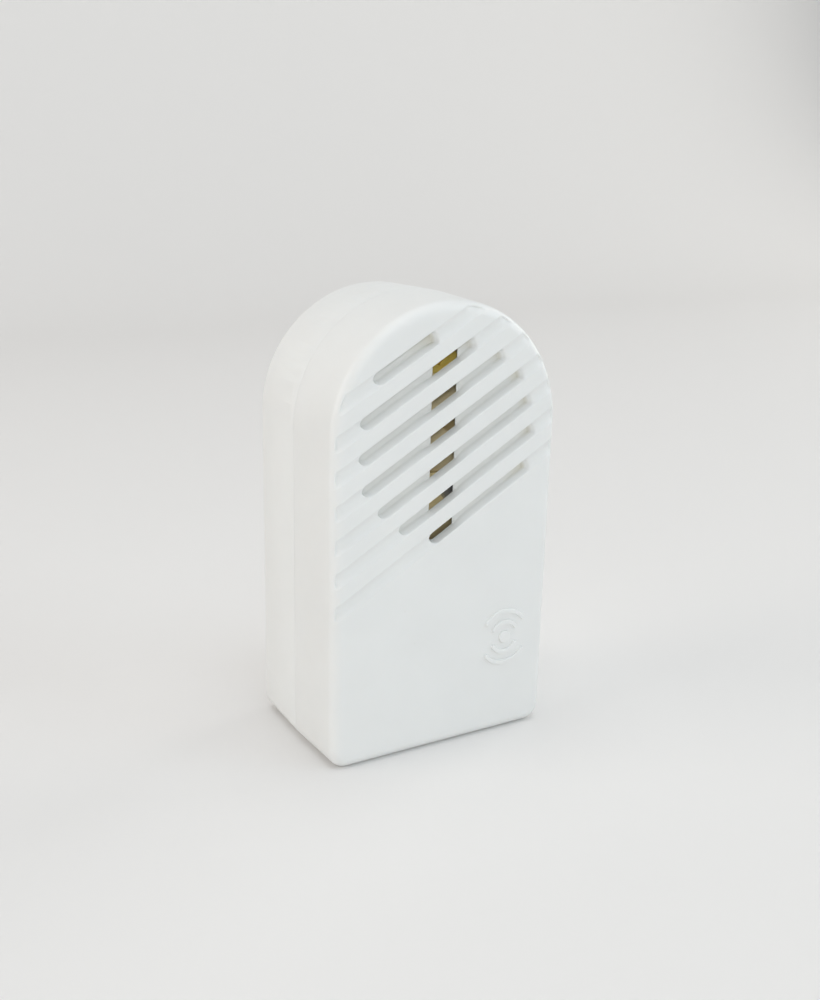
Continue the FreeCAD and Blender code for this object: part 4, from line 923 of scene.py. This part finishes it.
@dataclass(frozen=True)
class Emblem:
    """Raised emblem on the cover: a dot between pairs of curved sound bars."""

    right: float = 12.7
    up: float = 18.6
    relief: float = RELIEF
    dot_radius: float = 1.2
    bar_half_width: float = 0.45
    bar_radii: tuple[float, float] = (2.85, 4.95)
    gap_start: float = 1.44
    edge: float = 0.2
    rings: int = 7
    shrink: float = 0.12
    bar_step: float = 0.3
    bar_points: int = 13
    dot_points: int = 48

    def half_sweep(self, radius: float) -> float:
        """Half angle of a bar's middle line: a quarter turn less the gap's angle and the round end."""
        end = math.acos(self.gap_start / math.sqrt(2) / radius) - math.pi / 4
        return math.pi / 2 - end - (self.bar_half_width + self.shrink) / radius

    def bar(self, radius: float, up: float) -> tuple[Array, Array]:
        """Outline and inward drawn outline of a sound bar.

        A long hole's outline (u, v) is bent round the emblem's middle: the angle is a quarter turn
        less u / radius, and the distance is radius + v.

        Args:
            radius: Radius of the bar's middle line.
            up: 1 for a bar above the dot, -1 for one below it.

        Returns:
            Outer and inner outline in (x, z), each (n, 2).
        """
        reach = self.half_sweep(radius) * radius
        points, normals = long_loop(reach, self.bar_half_width, self.bar_step, self.bar_points)
        bent = []
        for loop in (points, points - normals * self.edge):
            angle, distance = math.pi / 2 - loop[:, 0] / radius, radius + loop[:, 1]
            bent.append(np.stack((self.right + distance * np.cos(angle),
                                  self.up + up * distance * np.sin(angle)), -1))
        return bent[0], bent[1]

    def dot(self) -> tuple[Array, Array]:
        """Outline and inward drawn outline of the dot, two circles."""
        turn = np.linspace(0, 2 * math.pi, self.dot_points, endpoint=False)[:, None]
        circle = np.concatenate((np.cos(turn), np.sin(turn)), 1)
        middle = np.array((self.right, self.up))
        return middle + circle * self.dot_radius, middle + circle * (self.dot_radius - self.edge)

    def build(self, skin: Skin, front: float) -> list[Array]:
        """Add every raised shape: rings at share s from base to top, raised by the root of s (2 - s).

        Args:
            skin: Skin of the cover.
            front: Depth of the plain face.

        Returns:
            The outlines on the face.
        """
        shapes = [self.dot()] + [self.bar(radius, up) for radius in self.bar_radii for up in (1.0, -1.0)]
        share = np.linspace(0, 1, self.rings)[:, None]
        rise = self.relief * np.sqrt(share * (2 - share))
        for base, top in shapes:
            skin.sheet(lifted(base + (top - base) * share[..., None], front - rise), wrap=True)
            skin.lid(lifted(top, front - self.relief))
        return [base for base, _ in shapes]

    def covers(self, flat: Array) -> Array:
        """Say which points lie on a raised shape.

        Args:
            flat: Points (x, z).

        Returns:
            Truth values, one for each point.
        """
        x, z = flat[..., 0] - self.right, flat[..., 1] - self.up
        distance = np.hypot(x, z)
        hit = distance < self.dot_radius
        for radius in self.bar_radii:
            beyond = np.abs(math.pi / 2 - np.arctan2(np.abs(z), x)) - self.half_sweep(radius)
            along = np.maximum(beyond, 0) * radius
            hit |= np.hypot(along, distance - radius) < self.bar_half_width
        return hit


@dataclass(frozen=True)
class ScrewPad:
    """Thick place in the cover's bottom wall with the notch for the screw that holds the cover."""

    half: float = 6.0
    back: float = -9.0
    top: float = 3.0
    screw: float = -4.0
    head_radius: float = 2.9
    head_top: float = 1.4
    shank_radius: float = 1.65
    turn_points: int = 25

    def notch(self, radius: float, z: float) -> Array:
        """U-shaped edge of the notch, from the seam round the screw and back.

        Args:
            radius: Radius of the half circle round the screw.
            z: Height of the edge.

        Returns:
            Points (n, 3).
        """
        turn = np.linspace(0, math.pi, self.turn_points)
        x = np.concatenate(([-radius], -radius * np.cos(turn), [radius]))
        y = np.concatenate(([0.0], self.screw - radius * np.sin(turn), [0.0]))
        return np.stack((x, y, np.full_like(x, z)), -1)

    def build(self, skin: Skin, outer: Array, inner: Array) -> None:
        """Fill the gap that the shell leaves for the pad.

        Args:
            skin: Skin of the cover.
            outer: Shell points round the gap outside, rows from the pad's back to the seam.
            inner: Shell points round the gap inside, rows from the seam to the pad's back.
        """
        seat = self.notch(self.head_radius, 0.0)
        step = self.notch(self.head_radius, self.head_top)
        neck = self.notch(self.shank_radius, self.head_top)
        mouth = self.notch(self.shank_radius, self.top)
        skin.sheet(np.stack((seat, step, neck, mouth)))
        skin.lid(outer[::-1, 0], outer[0, 1:-1], outer[:, -1], seat[::-1])
        corners = {(x, y): np.array((x, y, self.top))
                   for x in (-self.half, self.half) for y in (self.back, 0.0)}
        skin.lid(corners[-self.half, 0.0], corners[-self.half, self.back], corners[self.half, self.back],
                 corners[self.half, 0.0], mouth[::-1])
        for column, side, end in ((0, -self.half, 0), (-1, self.half, -1)):
            skin.lid(inner[:, column], corners[side, self.back], corners[side, 0.0])
            skin.lid(outer[-1, column], inner[0, column], corners[side, 0.0],
                     mouth[end], neck[end], step[end], seat[end])
        skin.lid(inner[-1], corners[self.half, self.back], corners[-self.half, self.back])


@dataclass
class FrontCover:
    """Front shell of the case: drafted sides, soft rim, fluted face and a hollow back."""

    outline: Outline = Outline()
    grille: Grille = Grille()
    emblem: Emblem = Emblem()
    pad: ScrewPad = ScrewPad()
    rim_rings: int = 8
    seam_radius: float = 0.02
    rebate_inset: float = 1.0
    rebate_depth: float = 1.7
    wall: float = 2.0
    hollow_radius: float = 0.8
    hollow_rings: int = 5

    def profile(self) -> tuple[list[tuple[float, float]], int, int, int]:
        """Inset and depth of each ring, from the face round the seam to the hollow's end.

        Returns:
            The rings, and the rows of the pad's back outside, the seam outside and the pad's back inside.
        """
        front, hollow, rim_radius = self.grille.front, self.grille.front + FRONT_WALL, self.outline.rim_radius
        turn = np.linspace(math.acos(1 - self.grille.rim_inset / rim_radius), 0, self.rim_rings)
        rim = [(rim_radius * (1 - math.cos(a)), front + rim_radius * (1 - math.sin(a))) for a in turn]
        outside = rim + [(0.0, self.pad.back), (0.0, self.pad.back / 2)]
        seam = [(0.0, -self.seam_radius), (self.seam_radius, 0.0)]
        rebate = [(self.rebate_inset, 0.0), (self.rebate_inset, -self.rebate_depth),
                  (self.wall, -self.rebate_depth)]
        bend = np.linspace(0, math.pi / 2, self.hollow_rings)
        radius = self.hollow_radius
        inside = [(self.wall, self.pad.back)] + [
            (self.wall + radius * (1 - math.cos(a)), hollow + radius * (1 - math.sin(a))) for a in bend]
        rings = outside + seam + rebate + inside
        pad_row = len(outside) - 2
        seam_row = len(outside) + 1
        inner_row = len(outside) + len(seam) + len(rebate)
        return rings, pad_row, seam_row, inner_row

    def on_face(self, flat: Array) -> Array:
        """Whether points (x, z) lie on the face, off the slots and the emblem."""
        return ~(self.grille.in_slot(flat, 0) | self.emblem.covers(flat))

    def build(self) -> bpy.types.Object:
        """Join the shell's rings, the face, the grille, the emblem and the screw pad.

        Returns:
            The cover.
        """
        skin = Skin("cover_shell")
        rings, pad_row, seam_row, inner_row = self.profile()
        grid = np.stack([self.outline.loop(inset, y if row <= seam_row else 0.0) for row, (inset, y)
                         in enumerate(rings)])
        grid[:, :, 1] = np.array([y for _, y in rings])[:, None]
        pad_columns = self.outline.counts[0]
        kept = np.ones((grid.shape[0] - 1, grid.shape[1]), bool)
        kept[pad_row:inner_row, :pad_columns - 1] = False
        skin.sheet(grid, wrap=True, kept=kept)
        at_pad = grid[:, :pad_columns]
        self.pad.build(skin, at_pad[pad_row:seam_row + 1], at_pad[seam_row + 1:inner_row + 1])
        rims, slit = self.grille.build(skin, self.outline)
        shapes = self.emblem.build(skin, self.grille.front)
        edge = grid[0][:, (0, 2)]
        points, triangles = triangulated([edge, *rims, *shapes], self.grille.grid(self.outline), self.on_face)
        skin.add(lifted(points, self.grille.height(points, self.outline)), triangles.tolist())
        hollow = grid[-1][:, (0, 2)]
        no_points = np.zeros((0, 2))
        points, triangles = triangulated([hollow, slit], no_points, lambda flat: ~self.grille.in_slit(flat))
        skin.add(lifted(points, self.grille.front + FRONT_WALL), triangles.tolist())
        return skin.piece(Finish.COVER_SHELL, "cover", "front_cover")


@dataclass(frozen=True)
class WoundBox:
    """Rounded rectangle about the coil's axis, on which the wire and the tape lie."""

    half_width: float
    half_height: float
    corner: float
    middle: float
    straight: int = 16
    bend: int = 11

    def around(self) -> tuple[Array, Array, Array]:
        """Middle points of the corners or of the straights, outward normals and share of the way round.

        Returns:
            Middles (n, 2), normals (n, 2) and shares (n,), once round from the right side's foot.
        """
        wide, high = self.half_width - self.corner, self.half_height - self.corner
        middles, angles = [], []
        for quarter, (start, end) in enumerate((((1, -1), (1, 1)), ((1, 1), (-1, 1)),
                                                ((-1, 1), (-1, -1)), ((-1, -1), (1, -1)))):
            first, last = np.array(start) * (wide, high), np.array(end) * (wide, high)
            share = np.linspace(0, 1, self.straight)[:, None]
            middles += [first + (last - first) * share, np.repeat(last[None], self.bend - 2, 0)]
            turn = quarter * math.pi / 2
            angles += [np.full(self.straight, turn),
                       turn + np.linspace(0, math.pi / 2, self.bend)[1:-1]]
        middle, angle = np.concatenate(middles), np.concatenate(angles)
        normal = np.stack((np.cos(angle), np.sin(angle)), -1)
        path = middle + normal * self.corner
        step = np.hypot(*(np.roll(path, -1, 0) - path).T)
        return middle + (0, self.middle), normal, np.concatenate(([0], np.cumsum(step)[:-1])) / step.sum()

    def skin(self, offset: Array, y: Array) -> Array:
        """Surface of outlines that are moved out.

        Args:
            offset: How far each point is moved out, (rows, n).
            y: Depth of each row, (rows,).

        Returns:
            Points (rows, n, 3).
        """
        middle, normal, _ = self.around()
        flat = middle + normal * (self.corner + offset)[..., None]
        return np.stack((flat[..., 0], np.broadcast_to(y[:, None], flat.shape[:2]), flat[..., 1]), -1)


@dataclass
class Coil:
    """Enamelled wire wound in one close layer over the bobbin, with a band of tape round its middle."""

    corner: float = 2.6
    wire_pitch: float = 0.24
    wire_depth: float = 0.07
    steps: int = 8
    bore: tuple[float, float] = (4.65, 5.15)
    tape_rise: float = 0.12
    tape_lap: float = 0.22
    lap_end: float = 0.05
    edge: float = 0.05

    def __post_init__(self) -> None:
        """Read the winding's and the tape's room from the frame."""
        self.low, self.high = (np.array(corner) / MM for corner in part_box("coil_winding"))
        self.tape_low, self.tape_high = (np.array(corner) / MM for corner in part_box("coil_tape"))
        middle = float(self.low[2] + self.high[2]) / 2
        self.box = WoundBox(float(self.high[0]), float(self.high[2]) - middle, self.corner, middle)

    def winding(self) -> bpy.types.Object:
        """Make the wire layer: each turn is half a circle of the phase y / pitch - share of the way round.

        Returns:
            The wire.
        """
        turns = int((self.high[1] - self.low[1]) / self.wire_pitch)
        y = np.linspace(self.low[1], self.high[1], turns * self.steps + 1)
        _, _, share = self.box.around()
        phase = (y - y[0])[:, None] / (y[-1] - y[0]) * turns - share
        crest = np.sqrt(np.clip(1 - (2 * (phase - np.floor(phase)) - 1) ** 2, 0, 1))
        outside = self.box.skin(self.wire_depth * (crest - 1), y)
        skin = Skin("wound_wire")
        bore = np.clip(outside - (0, 0, self.box.middle), *(
            np.array((side * self.bore[0], side * 1e3, side * self.bore[1])) for side in (-1, 1)))
        bore += (0, 0, self.box.middle)
        skin.sheet(outside, wrap=True)
        skin.sheet(np.stack((outside[0], bore[0], bore[-1], outside[-1])), wrap=True)
        return skin.piece(Finish.COPPER_WIRE, "case", "coil_winding", sharp=180)

    def tape(self) -> bpy.types.Object:
        """Make the tape: one turn thick, and two over the lap, whose end is a smooth step.

        Returns:
            The tape.
        """
        _, _, share = self.box.around()
        thick = float(self.tape_high[0] - self.high[0])
        lap = ease((self.tape_lap - share) / self.lap_end) * ease(share / self.lap_end)
        top = self.tape_rise + (thick - self.tape_rise) * lap
        low, high = float(self.tape_low[1]), float(self.tape_high[1])
        rows = [(low, 0.0), (low, 0.7), (low + self.edge, 1.0),
                (high - self.edge, 1.0), (high, 0.7), (high, 0.0)]
        y = np.array([depth for depth, _ in rows])
        offset = np.stack([self.edge + (top - self.edge) * part for _, part in rows])
        skin = Skin("winding_tape")
        band = self.box.skin(offset, y)
        skin.sheet(np.concatenate((band, band[:1])), wrap=True)
        return skin.piece(Finish.YELLOW_TAPE, "case", "coil_tape")

    def build(self) -> None:
        """Make the wire and the tape."""
        self.winding()
        self.tape()


@dataclass(frozen=True)
class SoftEdges:
    """Copy of a CAD node with rounded edges, as a mould, a press or plating leaves them."""

    node: str
    width: float
    finish: Finish
    segments: int = 2
    angle: float = 32.0
    flat: float = 0.5

    def build(self) -> bpy.types.Object:
        """Merge the copy's triangles, join flat ones to whole faces and bevel the sharp edges.

        Returns:
            The new object.
        """
        work = bmesh.new()
        work.from_mesh(frame["nodes"][self.node].data)
        bmesh.ops.remove_doubles(work, verts=work.verts, dist=MERGE * MM)
        bmesh.ops.dissolve_limit(work, angle_limit=math.radians(self.flat), verts=work.verts,
                                 edges=work.edges)
        mesh = bpy.data.meshes.new(f"{self.node}_soft")
        work.to_mesh(mesh)
        work.free()
        mesh.shade_smooth()
        piece = placed(mesh, self.finish, BODY_OF[self.node], self.node)
        bevel = piece.modifiers.new("soft_edges", "BEVEL")
        bevel.width = self.width * MM
        bevel.segments = self.segments
        bevel.limit_method = "ANGLE"
        bevel.angle_limit = math.radians(self.angle)
        bevel.harden_normals = True
        log.info("%s: edges %.2f mm", mesh.name, self.width)
        return piece


@dataclass(frozen=True)
class SoftLamp:
    """Round soft lamp aimed at the buzzer's middle.

    Its place and diameter are in metres, and glossy says whether it shows in reflections.
    """

    name: str
    place: tuple[float, float, float]
    size: float
    power: float
    tint: tuple[float, float, float] = (1.0, 1.0, 1.0)
    glossy: bool = True

    def build(self) -> None:
        """Put the lamp in the scene."""
        lamp = bpy.data.lights.new(self.name, "AREA")
        lamp.shape = "DISK"
        lamp.size = self.size
        lamp.energy = self.power
        lamp.color = self.tint
        holder = bpy.data.objects.new(self.name, lamp)
        holder.location = self.place
        holder.visible_glossy = self.glossy
        aim = Vector((0, 0, COVER_HIGH[2] * MM / 2)) - Vector(self.place)
        holder.rotation_euler = aim.to_track_quat("-Z", "Y").to_euler()
        bpy.context.scene.collection.objects.link(holder)


@dataclass
class Studio:
    """Seamless pale sweep with soft lamps and an even sky.

    The sweep's sizes are in metres, and the grain of its paper is in millimetres.
    """

    pale: tuple[float, float, float] = (0.8, 0.79, 0.78)
    half_width: float = 1.6
    front: float = -1.2
    bend_start: float = 0.45
    bend_radius: float = 0.3
    bend_points: int = 33
    wall_height: float = 1.4
    paper_cells: float = 900.0
    paper_grain: float = 0.02
    sky: tuple[float, float, float] = (1.0, 1.0, 1.0)
    sky_strength: float = 0.2
    lamps: tuple[SoftLamp, ...] = (
        SoftLamp("overhead", (0.0, 0.0, 1.0), 0.8, 2.66, (0.99, 1.0, 1.0)),
        SoftLamp("front_top", (-0.1, -0.5, 0.9), 0.7, 1.5, (0.845, 0.93, 1.0)),
        SoftLamp("front_right", (0.8, -0.7, 0.5), 0.8, 2.95, (0.835, 0.94, 1.0)),
        SoftLamp("left", (-1.0, 0.2, 0.5), 0.8, 3.5, (1.0, 0.925, 0.85)),
        SoftLamp("right", (1.0, 0.1, 0.4), 0.8, 3.42, (1.0, 0.983, 0.945)),
        SoftLamp("viewer", (-0.49, -0.82, 0.34), 0.15, 3.0, (0.99, 1.0, 1.0), glossy=False),
    )

    def sweep(self) -> None:
        """Floor that turns up into a wall: a line, a quarter circle and a line carried along X."""
        turn = np.linspace(0, math.pi / 2, self.bend_points)
        y = np.concatenate(([self.front], self.bend_start + self.bend_radius * np.sin(turn),
                            [self.bend_start + self.bend_radius]))
        z = np.concatenate(([0.0], self.bend_radius * (1 - np.cos(turn)), [self.wall_height]))
        x = np.array((-self.half_width, self.half_width))
        across, along = np.meshgrid(x, np.arange(len(y)), indexing="ij")
        points = np.stack((across, y[along], z[along]), -1).reshape(-1, 3)
        start = np.arange(len(y) - 1)
        faces = np.stack((start, start + len(y), start + len(y) + 1, start + 1), -1)
        mesh = bpy.data.meshes.new("studio_sweep")
        mesh.from_pydata(points.tolist(), [], faces.tolist())
        mesh.shade_smooth()
        sweep = bpy.data.objects.new("studio_sweep", mesh)
        bpy.context.scene.collection.objects.link(sweep)
        paint = Paint("studio_paper")
        paint.set(Base_Color=(*self.pale, 1.0), Roughness=0.75, Specular_IOR_Level=0.2)
        paint.bump(paint.noise(self.paper_cells, 3), self.paper_grain * MM)
        mesh.materials.append(paint.material)

    def build(self) -> None:
        """Make the sweep, the lamps and the sky, and show colours as they are."""
        self.sweep()
        for lamp in self.lamps:
            lamp.build()
        world = bpy.data.worlds.new("studio_sky")
        world.use_nodes = True
        background = world.node_tree.nodes["Background"]
        background.inputs["Color"].default_value = (*self.sky, 1.0)
        background.inputs["Strength"].default_value = self.sky_strength
        bpy.context.scene.world = world
        bpy.context.scene.view_settings.view_transform = "Standard"
        log.info("studio: sweep, %d lamps and sky", len(self.lamps))


NODE_FINISHES = {
    "cable_grommet": Finish.GREY_RUBBER, "frame_screws": Finish.ZINC_SCREW, "core_rivets": Finish.ZINC_SCREW,
    "bobbin_pins": Finish.TINNED_BRASS, "coil_leads": Finish.LEAD_INSULATION,
}

EDGES = (
    SoftEdges("rear_case", 0.02, Finish.WHITE_SHELL),
    SoftEdges("frame_bracket", 0.12, Finish.YELLOW_ZINC),
    SoftEdges("core_laminations", 0.05, Finish.CORE_IRON),
    SoftEdges("coil_bobbin", 0.15, Finish.BOBBIN_NYLON),
    SoftEdges("terminal_block", 0.15, Finish.BLOCK_NYLON),
    SoftEdges("terminal_clamps", 0.08, Finish.CLAMP_BRASS),
    SoftEdges("terminal_screw_left", 0.06, Finish.ZINC_SCREW),
    SoftEdges("terminal_screw_right", 0.06, Finish.ZINC_SCREW),
    SoftEdges("terminal_block_screw", 0.06, Finish.ZINC_SCREW),
    SoftEdges("reed", 0.05, Finish.REED_BRONZE),
    SoftEdges("armature_plate", 0.1, Finish.ARMATURE_IRON),
    SoftEdges("armature_rivets", 0.08, Finish.RIVET_BRASS),
    SoftEdges("reed_clamp_plate", 0.1, Finish.YELLOW_ZINC),
    SoftEdges("reed_clamp_screws", 0.06, Finish.ZINC_SCREW),
    SoftEdges("adjusting_screw", 0.06, Finish.CLAMP_BRASS),
    SoftEdges("adjusting_lock_nut", 0.1, Finish.CLAMP_BRASS),
    SoftEdges("cover_screw", 0.08, Finish.ZINC_SCREW),
    SoftEdges("cover_nut", 0.1, Finish.ZINC_SCREW),
)


def dress_cad_nodes() -> None:
    """Give the CAD nodes whose shape stays their finish."""
    for name, finish in NODE_FINISHES.items():
        node = frame["nodes"][name]
        node.data.materials.clear()
        node.data.materials.append(finish.material())
        log.info("%s: %s", name, finish.value.name)


def main() -> None:
    """Build the scene in order."""
    PhotoCamera().place()
    Studio().build()
    FrontCover().build()
    dress_cad_nodes()
    for edges in EDGES:
        edges.build()
    Coil().build()


if __name__ == "__main__":
    main()
